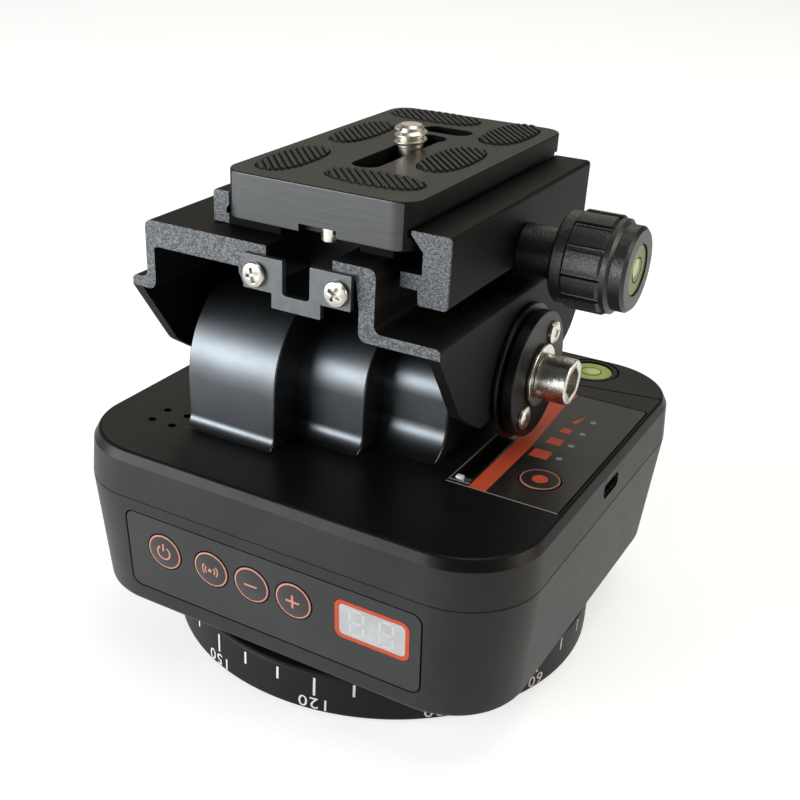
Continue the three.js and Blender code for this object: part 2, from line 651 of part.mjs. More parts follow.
function buildDrives(parent) {
  const inner = axle.radius + fit;
  const outer = inner + bearing.wall;
  const flangeZ = floorZ + seat;
  piece(parent, 'pan_bearing', turned([
    [inner, dial.height + seat], [outer, dial.height + seat], [outer, flangeZ],
    [outer + bearing.flange, flangeZ], [outer + bearing.flange, flangeZ + bearing.flangeThick],
    [inner, flangeZ + bearing.flangeThick], [inner, dial.height + seat],
  ], hidden), materials.paleGrey);
  const legIn = motorMount.half - motorMount.thick;
  const deck = mountZ + motorMount.thick;
  const back = pinionY + motorMount.depth / 2;
  const front = pinionY - motorMount.depth / 2;
  const legs = [-1, 1].map((side) => box(
    Math.min(side * legIn, side * motorMount.half), Math.max(side * legIn, side * motorMount.half),
    front, front + motorMount.leg, floorZ + seat, mountZ + motorMount.thick / 2));
  const deckPlate = box(-motorMount.half, motorMount.half, front, back, mountZ, deck);
  piece(parent, 'pan_motor_mount', cut(joined(deckPlate, ...legs),
    disc(pinionShaft + fit, mountZ - over, deck + over, small).translate(0, pinionY, 0)), materials.steel);
  const motorTop = deck + seat + panMotor.height;
  piece(parent, 'pan_motor', turned([
    [0, deck + seat], [panMotor.radius, deck + seat], [panMotor.radius, motorTop - panMotor.edge],
    [panMotor.radius - panMotor.edge, motorTop], [0, motorTop],
  ], hidden), materials.steel).position.set(0, pinionY, 0);
  const pinion = joined(prism(gearShape(pinionTeeth), gearZ, gearZ + gearWidth),
    disc(pinionShaft, gearZ + gearWidth / 2, deck - seat, small));
  const pinionMesh = piece(parent, 'pan_pinion', pinion, materials.brass);
  pinionMesh.position.set(0, pinionY, 0);
  pinionMesh.rotation.z = Math.PI / pinionTeeth;
  const wallY = footHalf - housing.wall - battery.wallGap;
  const cells = roundedRect(-batteryHalf, batteryHalf, wallY - battery.width, wallY, battery.corner);
  piece(parent, 'battery', prism(cells, floorZ + seat, floorZ + seat + battery.height), materials.cellWrap);
  const motorEnd = drumStart + humps[0].length - drumWall - seat;
  piece(parent, 'tilt_motor', alongX(turned([
    [0, motorEnd - tiltMotor.length], [tiltMotor.radius - tiltMotor.edge, motorEnd - tiltMotor.length],
    [tiltMotor.radius, motorEnd - tiltMotor.length + tiltMotor.edge], [tiltMotor.radius, motorEnd],
    [0, motorEnd],
  ], hidden)), materials.steel).position.set(0, 0, tiltZ);
  piece(parent, 'tilt_gearbox', alongX(turned([
    [0, motorEnd + seat], [tiltGearbox.radius, motorEnd + seat],
    [tiltGearbox.radius, motorEnd + seat + tiltGearbox.length - tiltGearbox.nose],
    [tiltGearbox.radius - tiltGearbox.nose, motorEnd + seat + tiltGearbox.length],
    [0, motorEnd + seat + tiltGearbox.length],
  ], hidden)), materials.steel).position.set(0, 0, tiltZ);
}

// Ends of the drum, where the bracket is carried
const drumEnd = humps.reduce((x, size) => x + size.length, drumStart);
const gearboxEnd = drumStart + humps[0].length - drumWall + tiltGearbox.length;
const cheekInLeft = bracket.cheekLeft + bracket.cheek;
const cheekInRight = bracket.cheekRight - bracket.cheek;

function buildPivots(parent) {
  const bore = tiltShaft.radius + fit;
  const barrel = bore + tiltBush.wall;
  const flangeStart = drumEnd + seat;
  const flangeEnd = flangeStart + tiltBush.flangeThick;
  piece(parent, 'tilt_bush', alongX(turned([
    [bore, drumEnd - drumWall], [barrel, drumEnd - drumWall], [barrel, flangeStart],
    [tiltBush.flange, flangeStart], [tiltBush.flange, flangeEnd], [barrel, flangeEnd],
    [barrel, cheekInRight - fit], [bore, cheekInRight - fit], [bore, drumEnd - drumWall],
  ], hidden)), materials.brass);
  const face = cheekInLeft + fit;
  const boltBore = pivotBolt.radius + fit;
  piece(parent, 'pivot_disc', alongX(turned([
    [boltBore, face], [pivot.radius, face], [pivot.radius, face + pivot.thick],
    [pivot.neck, face + pivot.thick], [pivot.neck, drumStart - seat], [pivot.spigot, drumStart - seat],
    [pivot.spigot, drumStart + drumWall],
    [boltBore, drumStart + drumWall], [boltBore, face],
  ])), materials.steel);
}

// The extrusion's section, in X and in Z above the tilt axis
function bracketShape() {
  const { top, left, wall, cheekLeft, cheekRight, cheek, shoulder, foot, legLeft, legRight } = bracket;
  const { edgeRound, neckRound, bendRound } = bracket;
  const low = shoulder - bracket.shelf;
  const webLow = top - bracket.web;
  const blockLow = top - block.thick;
  const wallIn = left + wall;
  const shape = new THREE.Shape();
  shape.moveTo(cheekLeft, foot);
  shape.lineTo(cheekLeft, shoulder - neckRound);
  shape.absarc(cheekLeft + neckRound, shoulder - neckRound, neckRound, 2 * quarter, quarter, true);
  shape.lineTo(left - neckRound, shoulder);
  shape.absarc(left - neckRound, shoulder + neckRound, neckRound, -quarter, 0, false);
  shape.lineTo(left, top - edgeRound);
  shape.absarc(left + edgeRound, top - edgeRound, edgeRound, 2 * quarter, quarter, true);
  shape.lineTo(legRight - edgeRound, top);
  shape.absarc(legRight - edgeRound, top - edgeRound, edgeRound, quarter, 0, true);
  shape.lineTo(legRight, shoulder + neckRound);
  shape.absarc(legRight + neckRound, shoulder + neckRound, neckRound, 2 * quarter, 3 * quarter, false);
  shape.lineTo(cheekRight - neckRound, shoulder);
  shape.absarc(cheekRight - neckRound, shoulder - neckRound, neckRound, quarter, 0, true);
  shape.lineTo(cheekRight, foot);
  shape.lineTo(cheekRight - cheek, foot);
  shape.lineTo(cheekRight - cheek, low);
  shape.lineTo(legLeft + bendRound, low);
  shape.absarc(legLeft + bendRound, low + bendRound, bendRound, 3 * quarter, 2 * quarter, true);
  shape.lineTo(legLeft, blockLow);
  shape.lineTo(block.right + block.groove, top - block.grooveDrop);
  shape.lineTo(block.right, top - block.grooveDrop);
  shape.lineTo(block.right, blockLow);
  shape.lineTo(block.left + block.chamferX, blockLow);
  shape.lineTo(block.left, blockLow + block.chamferZ);
  shape.lineTo(block.left, webLow);
  shape.lineTo(wallIn + edgeRound, webLow);
  shape.absarc(wallIn + edgeRound, webLow - edgeRound, edgeRound, quarter, 2 * quarter, false);
  shape.lineTo(wallIn, low + bendRound);
  shape.absarc(wallIn - bendRound, low + bendRound, bendRound, 0, -quarter, true);
  shape.lineTo(cheekLeft + cheek, low);
  shape.lineTo(cheekLeft + cheek, foot);
  return shape;
}

const clampZ = bracket.top;
const screwZ = clampZ + clampScrew.z;
const pinZ = clampZ + guidePin.z;
const hubX = bracket.cheekRight + seat;
const hubFace = hubX + hub.rearThick + hub.grooveThick + hub.frontThick;

function buildBracket(parent) {
  const { half, top, foot } = bracket;
  const { midHalf, midZ, lowHalf, lowZ } = cheekEdge;
  const side = polygon([
    [-half, top + over], [-half, bracket.shoulder], [-midHalf, midZ], [-lowHalf, lowZ],
    [-cheekEdge.footHalf, foot], [cheekEdge.footHalf, foot], [lowHalf, lowZ], [midHalf, midZ],
    [half, bracket.shoulder], [half, top + over],
  ]);
  const extrusion = common(alongY(bracketShape(), -half, half),
    sectionX(side, bracket.cheekLeft - over, bracket.cheekRight + over));
  const blockLow = top - block.thick;
  const cutters = [
    box(slot.left, slot.right, -half - over, slot.depth - half, blockLow - over, top + over),
    alongX(disc(clampScrew.radius + fit, -over, bracket.legRight + over, small)).translate(0, 0, screwZ),
    alongX(disc(tiltShaft.radius + fit, cheekInRight - over, bracket.cheekRight + over, small)),
    alongX(disc(pivotBolt.radius + fit, bracket.cheekLeft - over, cheekInLeft + over, small)),
  ];
  for (const y of [-guidePin.y, guidePin.y]) {
    cutters.push(alongX(disc(guidePin.radius + fit, guidePin.inner - fit, bracket.legRight + over, small))
      .translate(0, y, pinZ));
  }
  for (const x of [-plateScrew.x, plateScrew.x]) {
    cutters.push(disc(plateScrew.radius + fit, 0, plateScrew.length + fit, small).rotateX(-quarter)
      .translate(x, -half, plateScrew.z));
  }
  for (const turn of [-1, 1]) {
    const hole = disc(hubScrew.radius + fit, cheekInRight - over, bracket.cheekRight + over, small / 2);
    cutters.push(alongX(hole).translate(0, turn * hubScrew.y, turn * hubScrew.z));
  }
  piece(parent, 'tilt_bracket', cut(extrusion, ...cutters), materials.blackMetal);
}

function buildStopPlate(parent) {
  const { top, low, tab, tabHalf, notchHalf, thick } = stopPlate;
  const face = -bracket.half - seat;
  const outline = polygon([
    [-stopPlate.half, low], [-tabHalf, low], [-tabHalf, low - tab], [tabHalf, low - tab], [tabHalf, low],
    [stopPlate.half, low], [stopPlate.half, top], [notchHalf, top], [notchHalf, low], [-notchHalf, low],
    [-notchHalf, top], [-stopPlate.half, top],
  ]);
  const holes = [-plateScrew.x, plateScrew.x].map((x) => (
    disc(plateScrew.radius + fit, -over, thick + over, small).rotateX(quarter)
      .translate(x, face, plateScrew.z)));
  piece(parent, 'stop_plate', cut(alongY(outline, face - thick, face), ...holes), materials.stamped);
  const screw = turned([
    [0, -plateScrew.length], [plateScrew.radius, -plateScrew.length], [plateScrew.radius, thick + seat * 2],
    [plateScrew.head, thick + seat * 2], [plateScrew.head, thick + plateScrew.headHeight / 2],
    [plateScrew.head / 2, thick + plateScrew.headHeight], [0, thick + plateScrew.headHeight],
  ], small).rotateX(quarter);
  for (const [name, side] of [['stop_plate_screw_left', -1], ['stop_plate_screw_right', 1]]) {
    const place = piece(parent, name, screw.clone(), materials.nickel).position;
    place.set(side * plateScrew.x, -bracket.half, plateScrew.z);
  }
}

function buildHub(parent) {
  const bore = tiltShaft.radius + fit;
  const grooveX = hubX + hub.rearThick;
  const frontX = grooveX + hub.grooveThick;
  const body = alongX(turned([
    [bore, hubX], [hub.rear, hubX], [hub.rear, grooveX], [hub.groove, grooveX], [hub.groove, frontX],
    [hub.front, frontX], [hub.front, hubFace - hub.edge], [hub.front - hub.edge, hubFace], [bore, hubFace],
    [bore, hubX],
  ], fine));
  const holes = [-1, 1].map((turn) => (
    alongX(disc(hubScrew.radius + fit, hubX - over, hubFace + over, small / 2))
      .translate(0, turn * hubScrew.y, turn * hubScrew.z)));
  piece(parent, 'tilt_hub', cut(body, ...holes), materials.blackMetal);
  const screwStart = cheekInRight;
  const screw = alongX(turned([
    [0, screwStart], [hubScrew.radius, screwStart], [hubScrew.radius, hubFace + seat],
    [hubScrew.head, hubFace + seat], [hubScrew.head, hubFace + hubScrew.headHeight / 2],
    [hubScrew.head / 2, hubFace + hubScrew.headHeight], [0, hubFace + hubScrew.headHeight],
  ], small));
  for (const [name, turn] of [['hub_screw_low', -1], ['hub_screw_high', 1]]) {
    const place = piece(parent, name, screw.clone(), materials.nickel).position;
    place.set(0, turn * hubScrew.y, turn * hubScrew.z);
  }
  const shaftEnd = hubFace - seat;
  piece(parent, 'tilt_shaft', alongX(turned([
    [0, gearboxEnd + fit], [tiltShaft.radius, gearboxEnd + fit], [tiltShaft.radius, shaftEnd],
    [tiltShaft.bore, shaftEnd], [tiltShaft.bore, shaftEnd - hubBoltReach], [0, shaftEnd - hubBoltReach],
  ], small)), materials.steel);
  const washerX = hubFace + seat;
  piece(parent, 'hub_washer', alongX(ringSolid(hubBolt.radius + fit, washer.radius, washerX,
    washerX + washer.thick)), materials.nickel);
  const boltX = washerX + washer.thick + seat;
  const boltEnd = boltX + hubBolt.headHeight;
  const bolt = alongX(turned([
    [0, shaftEnd - hubBoltReach + fit], [hubBolt.radius, shaftEnd - hubBoltReach + fit],
    [hubBolt.radius, boltX], [hubBolt.head, boltX], [hubBolt.head, boltEnd - hubBolt.edge],
    [hubBolt.head - hubBolt.edge, boltEnd], [0, boltEnd],
  ]));
  const socket = disc(hubBolt.socket, boltEnd - hubBolt.socketDepth, boltEnd + over, hubBolt.sides);
  piece(parent, 'hub_bolt', cut(bolt, alongX(socket)), materials.nickel);
  const headX = bracket.cheekLeft - seat;
  piece(parent, 'pivot_bolt', alongX(turned([
    [0, headX - pivotBolt.headHeight], [pivotBolt.head, headX - pivotBolt.headHeight],
    [pivotBolt.head, headX], [pivotBolt.radius, headX], [pivotBolt.radius, drumStart], [0, drumStart],
  ], hidden)), materials.steel);
}

// The clamp base: two strips that the plate rests on, joined at the back, and the fixed jaw
function buildClampBase(parent) {
  const { top, tip, tipThick, throat, throatZ } = jaw;
  const bedTop = seat + bed.height;
  const section = alongY(polygon([
    [-fixedJaw.outer, seat], [bed.right, seat], [bed.right, bedTop], [-throat, bedTop], [-throat, throatZ],
    [-tip, top - tipThick], [-tip, top], [-fixedJaw.outer, top],
  ]), -bed.half, bed.half);
  const gap = box(-bed.gapHalf, bed.gapHalf, -bed.half - over, bed.half - bed.bridge, seat - over,
    bedTop + over);
  piece(parent, 'clamp_base', cut(section, gap), materials.blackMetal);
}

function buildMovableJaw(parent) {
  const { top, tip, tipThick, throat, throatZ, outer } = jaw;
  const shape = new THREE.Shape();
  shape.moveTo(tip, top);
  shape.lineTo(tip, top - tipThick);
  shape.lineTo(throat, throatZ);
  shape.lineTo(throat, tongue.top);
  shape.lineTo(tongue.tip, tongue.top);
  shape.lineTo(tongue.tip, tongue.low);
  shape.lineTo(jawFoot.root, tongue.low);
  shape.lineTo(jawFoot.left, jawFoot.low);
  shape.lineTo(outer - jawRound, jawFoot.low);
  shape.absarc(outer - jawRound, jawFoot.low + jawRound, jawRound, -quarter, 0, false);
  shape.lineTo(outer, top - jawRound);
  shape.absarc(outer - jawRound, top - jawRound, jawRound, 0, quarter, false);
  const holes = [alongX(disc(clampScrew.radius + fit, tongue.tip - over, outer + over, small))
    .translate(0, 0, clampScrew.z)];
  for (const y of [-guidePin.y, guidePin.y]) {
    holes.push(alongX(disc(guidePin.radius + fit, tongue.tip - over, guidePin.outer + fit, small))
      .translate(0, y, guidePin.z));
  }
  piece(parent, 'movable_jaw', cut(alongY(shape, -jaw.half, jaw.half), ...holes), materials.blackMetal);
  for (const [name, y] of [['jaw_pin_front', -guidePin.y], ['jaw_pin_back', guidePin.y]]) {
    const pin = alongX(disc(guidePin.radius, guidePin.inner, guidePin.outer, small));
    piece(parent, name, pin, materials.steel).position.set(0, y, guidePin.z);
  }
}

function buildKnob(parent) {
  const neckX = jaw.outer + fit;
  const rimX = neckX + knob.neckLength;
  const gripX = rimX + knob.rimLength;
  const outerX = gripX + knob.gripLength;
  const capX = outerX + knob.outerLength;
  const endX = capX + knob.capLength;
  const bore = clampScrew.radius + fit;
  const recessX = endX - knobLevel.depth;
  const body = alongX(turned([
    [bore, neckX], [knob.neck, neckX], [knob.neck, rimX], [knob.rim - knob.edge, rimX],
    [knob.rim, rimX + knob.edge], [knob.rim, gripX], [knob.grip, gripX + knob.edge],
    [knob.grip, outerX - knob.edge], [knob.outerRim, outerX], [knob.outerRim, capX - knob.edge],
    [knob.cap, capX], [knob.cap, endX - knob.edge], [knob.cap - knob.edge, endX],
    [knobLevel.radius + seat, endX], [knobLevel.radius + seat, recessX], [0, recessX],
    [0, neckX + clampScrew.knobDepth], [bore, neckX + clampScrew.knobDepth], [bore, neckX],
  ]));
  const flutes = [];
  for (let i = 0; i < flute.count; i += 1) {
    const groove = box(gripX, outerX, -flute.width / 2, flute.width / 2, knob.grip - flute.depth,
      knob.grip + over);
    flutes.push(groove.rotateX(2 * Math.PI * i / flute.count));
  }
  piece(parent, 'clamp_knob', cut(body, ...flutes), materials.blackMetal);
  piece(parent, 'clamp_screw', alongX(disc(clampScrew.radius, 0, neckX + clampScrew.knobDepth - fit, small)),
    materials.steel);
  piece(parent, 'knob_level_vial', alongX(disc(knobLevel.radius, recessX + seat, endX - knobLevel.drop)),
    materials.lime);
}

// The plate's own frame has its underside at Z zero
function padShape(place, inset) {
  const half = place.half - inset;
  const halfLength = place.halfLength - inset;
  const [hx, hy] = place.along === 'x' ? [halfLength, half] : [half, halfLength];
  return roundedRect(place.x - hx, place.x + hx, place.y - hy, place.y + hy, half - seat);
}

function buildPlate(parent) {
  const { half, halfLength, thick, corner } = plate;
  const blank = prism(roundedRect(-half, half, -halfLength, halfLength, corner), 0, thick);
  const veeLow = vee.low - over * (vee.floorLow - vee.low) / vee.depth;
  const veeHigh = vee.high + over * (vee.high - vee.floorHigh) / vee.depth;
  const cutters = [-1, 1].map((side) => alongY(polygon([
    [side * (half + over), veeLow], [side * (half - vee.depth), vee.floorLow],
    [side * (half - vee.depth), vee.floorHigh], [side * (half + over), veeHigh],
  ]), -halfLength - over, halfLength + over));
  cutters.push(prism(roundedRect(-channel.half, channel.half, -channel.halfLength, channel.halfLength,
    channel.corner), -over, channel.depth));
  cutters.push(prism(roundedRect(-plateSlot.half, plateSlot.half, plateSlot.front, plateSlot.keyY,
    plateSlot.half - seat), channel.depth - over, thick + over));
  const key = new THREE.Shape();
  key.absellipse(0, plateSlot.keyY, plateSlot.keyHalf, plateSlot.keyHalfLength, 0, 4 * quarter, false);
  cutters.push(prism(key, channel.depth - over, thick + over));
  cutters.push(box(plateNotch.left, plateNotch.right, -halfLength - over, -halfLength + plateNotch.depth,
    -over, plateNotch.height));
  cutters.push(disc(stopScrew.radius + fit, -over, stopScrew.inside + fit, small)
    .translate(stopScrew.x, stopScrew.y, 0));
  for (const place of padPlaces) cutters.push(prism(padShape(place, 0), thick - pad.recess, thick + over));
  piece(parent, 'quick_release_plate', cut(blank, ...cutters), materials.plateMetal);
  padPlaces.forEach((place, i) => {
    const floor = thick - pad.recess + seat;
    piece(parent, `rubber_pad_${i + 1}`, prism(padShape(place, pad.gap), floor, floor + pad.thick),
      materials.rubber);
  });
  const stopPin = disc(stopScrew.radius, -stopScrew.drop, stopScrew.inside, small);
  piece(parent, 'stop_screw', stopPin, materials.nickel).position.set(stopScrew.x, stopScrew.y, 0);
  const washerTop = channel.depth - seat;
  const washerLow = washerTop - screwWasher.thick;
  const washer = ringSolid(cameraScrew.shank + fit, screwWasher.radius, washerLow, washerTop, hidden);
  piece(parent, 'screw_washer', washer, materials.steel).position.set(cameraScrew.x, cameraScrew.y, 0);
  const headTop = washerLow - seat;
  const headLow = headTop - cameraScrew.headHeight;
  const threadZ = thick + fit;
  const top = thick + cameraScrew.rise;
  const screw = turned([
    [0, headLow], [cameraScrew.head, headLow], [cameraScrew.head, headTop], [cameraScrew.shank, headTop],
    [cameraScrew.shank, threadZ], [cameraScrew.thread, threadZ], [cameraScrew.thread, top - fit],
    [cameraScrew.thread - fit, top], [0, top],
  ]);
  const coinSlot = box(-cameraScrew.head - over, cameraScrew.head + over, -cameraScrew.slotWidth / 2,
    cameraScrew.slotWidth / 2, headLow - over, headLow + cameraScrew.slotDepth);
  piece(parent, 'camera_screw', cut(screw, coinSlot), materials.steel)
    .position.set(cameraScrew.x, cameraScrew.y, 0);
}

buildBase(head);

const panGroup = new THREE.Group();
head.add(panGroup);
panGroup.add(frontFrame);
buildLowerShell(panGroup);
buildTopCover(panGroup);
buildFront(frontFrame);
buildTopParts(panGroup);
buildDrives(panGroup);

const tiltGroup = new THREE.Group();
tiltGroup.position.z = tiltZ;
panGroup.add(tiltGroup);
buildPivots(tiltGroup);
buildBracket(tiltGroup);
buildStopPlate(tiltGroup);
buildHub(tiltGroup);

const clampGroup = new THREE.Group();
clampGroup.position.z = clampZ;
tiltGroup.add(clampGroup);
buildClampBase(clampGroup);
buildMovableJaw(clampGroup);

const knobGroup = new THREE.Group();
knobGroup.position.z = clampScrew.z;
clampGroup.add(knobGroup);
buildKnob(knobGroup);

const plateGroup = new THREE.Group();
plateGroup.position.z = seat + bed.height + seat * 2;
clampGroup.add(plateGroup);
buildPlate(plateGroup);

head.updateMatrixWorld(true);

export default head;
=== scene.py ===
"""Looks of a remote pan tilt head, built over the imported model.

Shapes are drawn in millimetres in the model's own frame and made metres when
a piece is finished. The origin is on the pan axis, on the underside of the dial.
"""
import math

import bmesh
import bpy
from mathutils import Matrix, Vector


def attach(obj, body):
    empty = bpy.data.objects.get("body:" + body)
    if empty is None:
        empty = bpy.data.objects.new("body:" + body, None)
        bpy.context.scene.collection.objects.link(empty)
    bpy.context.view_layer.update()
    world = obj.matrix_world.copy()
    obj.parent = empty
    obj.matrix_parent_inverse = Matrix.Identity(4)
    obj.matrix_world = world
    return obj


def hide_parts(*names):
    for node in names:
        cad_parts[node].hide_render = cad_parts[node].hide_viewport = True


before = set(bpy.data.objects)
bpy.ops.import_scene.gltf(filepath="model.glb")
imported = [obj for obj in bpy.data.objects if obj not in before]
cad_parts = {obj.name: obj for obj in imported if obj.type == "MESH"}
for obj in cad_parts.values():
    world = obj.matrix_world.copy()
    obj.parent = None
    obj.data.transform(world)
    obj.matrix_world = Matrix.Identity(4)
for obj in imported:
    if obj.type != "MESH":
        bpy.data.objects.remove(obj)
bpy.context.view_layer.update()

MM = 0.001
MERGE = 0.0005
DIAL_RADIUS = 45.6
DIAL_TOP = 9.8
SHELL_LOW = 12.5
SEAM = 37.4
COVER_TOP = 47.1
CEILING = 44.9
HOUSING = 48.5
CORNER = 15.5
CORNER_STEPS = 24
WALL = 2.2
SHELL_DRAFT = math.tan(math.radians(3.8))
COVER_DRAFT = math.tan(math.radians(3.5))
TILT_AXIS = 61.6
CLAMP_TOP = 89.4
KNOB_AXIS = 85.6
PLATE_LOW = 91.6
PLATE_TOP = 100.0
RIB_TURN = -48
RIB_PITCH = 1.22
RIB_GAP = 0.58
RIB_DEPTH = 0.34
TICK_PITCH = 0.62


# Shapes

ALONG_X = Matrix(((0, 0, 1, 0), (1, 0, 0, 0), (0, 1, 0, 0), (0, 0, 0, 1)))
ALONG_Y = Matrix(((1, 0, 0, 0), (0, 0, 1, 0), (0, 1, 0, 0), (0, 0, 0, 1)))
FRONT_WALL = (
    Matrix.Translation((0, -HOUSING, SEAM)) @ Matrix.Rotation(math.radians(93.8), 4, "X")
)


def moved(form, x=0, y=0, z=0):
    bmesh.ops.translate(form, vec=(x, y, z), verts=form.verts)
    return form


def outward(form):
    bmesh.ops.recalc_face_normals(form, faces=form.faces)
    return form


def merged(form):
    bmesh.ops.remove_doubles(form, verts=form.verts, dist=MERGE)
    return form


def closed(form):
    """The form with its open ends filled and its faces outward."""
    open_edges = [edge for edge in form.edges if len(edge.link_faces) == 1]
    bmesh.ops.holes_fill(form, edges=open_edges, sides=0)
    return outward(form)


def laid(form, place):
    """The form in another frame, such as ALONG_X, with its faces outward."""
    bmesh.ops.transform(form, matrix=place, verts=form.verts)
    return outward(form)


def crosswise(form, height=TILT_AXIS, y=0):
    """A form that was drawn along Z, laid along X at that height."""
    return moved(laid(form, ALONG_X), 0, y, height)


def turned_about(form, axis, degrees, centre=(0, 0, 0)):
    spin = Matrix.Rotation(math.radians(degrees), 3, axis)
    bmesh.ops.rotate(form, cent=centre, matrix=spin, verts=form.verts)
    return form


def bevel(form, geom, width, steps, **more):
    settings = {"affect": "EDGES", "clamp_overlap": False, "material": -1, **more}
    bmesh.ops.bevel(
        form, geom=geom, offset=width, offset_type="OFFSET", segments=steps, profile=0.5,
        **settings)
    return form


def outline(corners, steps=10):
    """A flat face. Each corner is (x, y), or (x, y, radius) where it is rounded."""
    form = bmesh.new()
    verts = [form.verts.new((corner[0], corner[1], 0)) for corner in corners]
    form.faces.new(verts)
    for i, corner in enumerate(corners):
        if len(corner) < 3:
            continue
        here = Vector(corner[:2])
        before = Vector(corners[i - 1][:2]) - here
        after = Vector(corners[(i + 1) % len(corners)][:2]) - here
        slide = corner[2] / math.tan(before.angle(after) / 2)
        bevel(form, [verts[i]], slide, steps, affect="VERTICES")
    return form


def extruded(form, faces, rise):
    """Raises copies of the faces, walled in, and gives their corners."""
    made = bmesh.ops.extrude_face_region(form, geom=faces)
    tops = [item for item in made["geom"] if isinstance(item, bmesh.types.BMVert)]
    bmesh.ops.translate(form, vec=(0, 0, rise), verts=tops)
    return tops


def prism(corners, low, high, steps=10):
    form = moved(outline(corners, steps), z=low)
    extruded(form, form.faces[:], high - low)
    return outward(form)


def slab(sides, radius, low, high, steps=10, grow=0.0):
    """A prism between left, right, front and back sides, each moved out by grow."""
    left, right, front, back = sides
    left, right, front, back = left - grow, right + grow, front - grow, back + grow
    corners = [(left, front), (right, front), (right, back), (left, back)]
    return prism([(*corner, radius) for corner in corners], low, high, steps)


def block(left, right, front, back, low, high):
    form = bmesh.new()
    bmesh.ops.create_cube(form, size=1)
    bmesh.ops.scale(form, vec=(right - left, back - front, high - low), verts=form.verts)
    return moved(form, (left + right) / 2, (front + back) / 2, (low + high) / 2)


def spun(form, geom, degrees, steps, merge, rise=0.0):
    """Spins a section about Z. It rises by that much at each step."""
    bmesh.ops.spin(
        form, geom=geom, cent=(0, 0, 0), axis=(0, 0, 1), dvec=(0, 0, rise),
        angle=math.radians(degrees), steps=steps, use_merge=merge, use_duplicate=False)
    return form


def turned(profile, steps=96):
    """A solid of revolution about Z. The profile is a list of (radius, height)."""
    form = bmesh.new()
    verts = [form.verts.new((radius, 0, height)) for radius, height in profile]
    edges = [form.edges.new(pair) for pair in zip(verts, verts[1:])]
    if profile[0][0] > 0 and profile[0] != profile[-1]:
        edges.append(form.edges.new((verts[-1], verts[0])))
    return outward(merged(spun(form, verts + edges, 360, steps, True)))


def rod(radius, low, high, steps=32):
    return turned([(0, low), (radius, low), (radius, high), (0, high)], steps)


def sharp_edges(form, degrees, only=None):
    """Edges that turn by more than those degrees, of those that only() picks."""
    form.normal_update()
    limit = math.radians(degrees)
    return [
        edge for edge in form.edges
        if len(edge.link_faces) == 2 and edge.calc_face_angle(0) > limit
        and (only is None or only(edge))
    ]


def rounded(form, width, steps=3, degrees=30, only=None):
    return bevel(form, sharp_edges(form, degrees, only), width, steps, loop_slide=True)


def broken(form, width, degrees=30, index=2, only=None):
    """The form with its outer edges broken by a narrow band of another material."""
    edges = [edge for edge in sharp_edges(form, degrees, only)
             if edge.calc_face_angle_signed(0) > 0]
    return bevel(form, edges, width, 2, clamp_overlap=True, loop_slide=True, material=index)


def mesh_of(form, name="solid"):
    mesh = bpy.data.meshes.new(name)
    form.to_mesh(mesh)
    return mesh


def linked(name, data):
    made = bpy.data.objects.new(name, data)
    bpy.context.scene.collection.objects.link(made)
    return made


def evaluated(made):
    """The form of an object after its modifiers. The object is removed."""
    graph = bpy.context.evaluated_depsgraph_get()
    mesh = bpy.data.meshes.new_from_object(made.evaluated_get(graph))
    form = bmesh.new()
    form.from_mesh(mesh)
    bpy.data.meshes.remove(mesh)
    bpy.data.objects.remove(made)
    return merged(form)


def join(*forms):
    """Forms put in one mesh. They may pass through each other."""
    whole = bmesh.new()
    for form in forms:
        mesh = mesh_of(form)
        whole.from_mesh(mesh)
        bpy.data.meshes.remove(mesh)
    return whole


def worked(form, tools, operation):
    body = linked("body", mesh_of(form))
    cutters = [linked("cutter", mesh_of(tool)) for tool in tools]
    for cutter in cutters:
        step = body.modifiers.new("work", "BOOLEAN")
        step.operation = operation
        step.solver = "EXACT"
        step.object = cutter
    meshes = [made.data for made in (body, *cutters)]
    result = evaluated(body)
    for cutter in cutters:
        bpy.data.objects.remove(cutter)
    for mesh in meshes:
        bpy.data.meshes.remove(mesh)
    return result


def cut(form, *tools):
    return worked(form, tools, "DIFFERENCE")


def fused(form, *others):
    return worked(form, others, "UNION")


def painted(form, index, picks=lambda at, facing: True):
    """Gives the material of that index to faces that picks() takes by middle and normal."""
    form.normal_update()
    for face in form.faces:
        if picks(face.calc_center_median(), face.normal):
            face.material_index = index
    return form


def piece(name, form, body, paints, node=None, sharp=32):
    """Finishes a form: metres, smooth shading, materials, and its place in the frame."""
    bmesh.ops.transform(form, matrix=Matrix.Scale(MM, 4), verts=form.verts)
    mesh = mesh_of(form, name)
    form.free()
    mesh.shade_smooth()
    mesh.set_sharp_from_angle(angle=math.radians(sharp))
    for paint in paints if isinstance(paints, list) else [paints]:
        mesh.materials.append(paint)
    made = linked(name, mesh)
    made.modifiers.new("even_normals", "WEIGHTED_NORMAL").keep_sharp = True
    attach(made, body)
    if node:
        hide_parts(node)


# Materials


class Wire:
    """A node's output. Sums written with it add Math nodes."""

    def __init__(self, paint, socket):
        self.paint = paint
        self.socket = socket

    def maths(self, operation, first, second):
        return self.paint.node(
            "ShaderNodeMath", {"operation": operation}, {0: first, 1: second})

    def __add__(self, other):
        return self.maths("ADD", self, other)

    def __sub__(self, other):
        return self.maths("SUBTRACT", self, other)

    def __rsub__(self, other):
        return self.maths("SUBTRACT", other, self)

    def __mul__(self, other):
        return self.maths("MULTIPLY", self, other)

    __radd__ = __add__


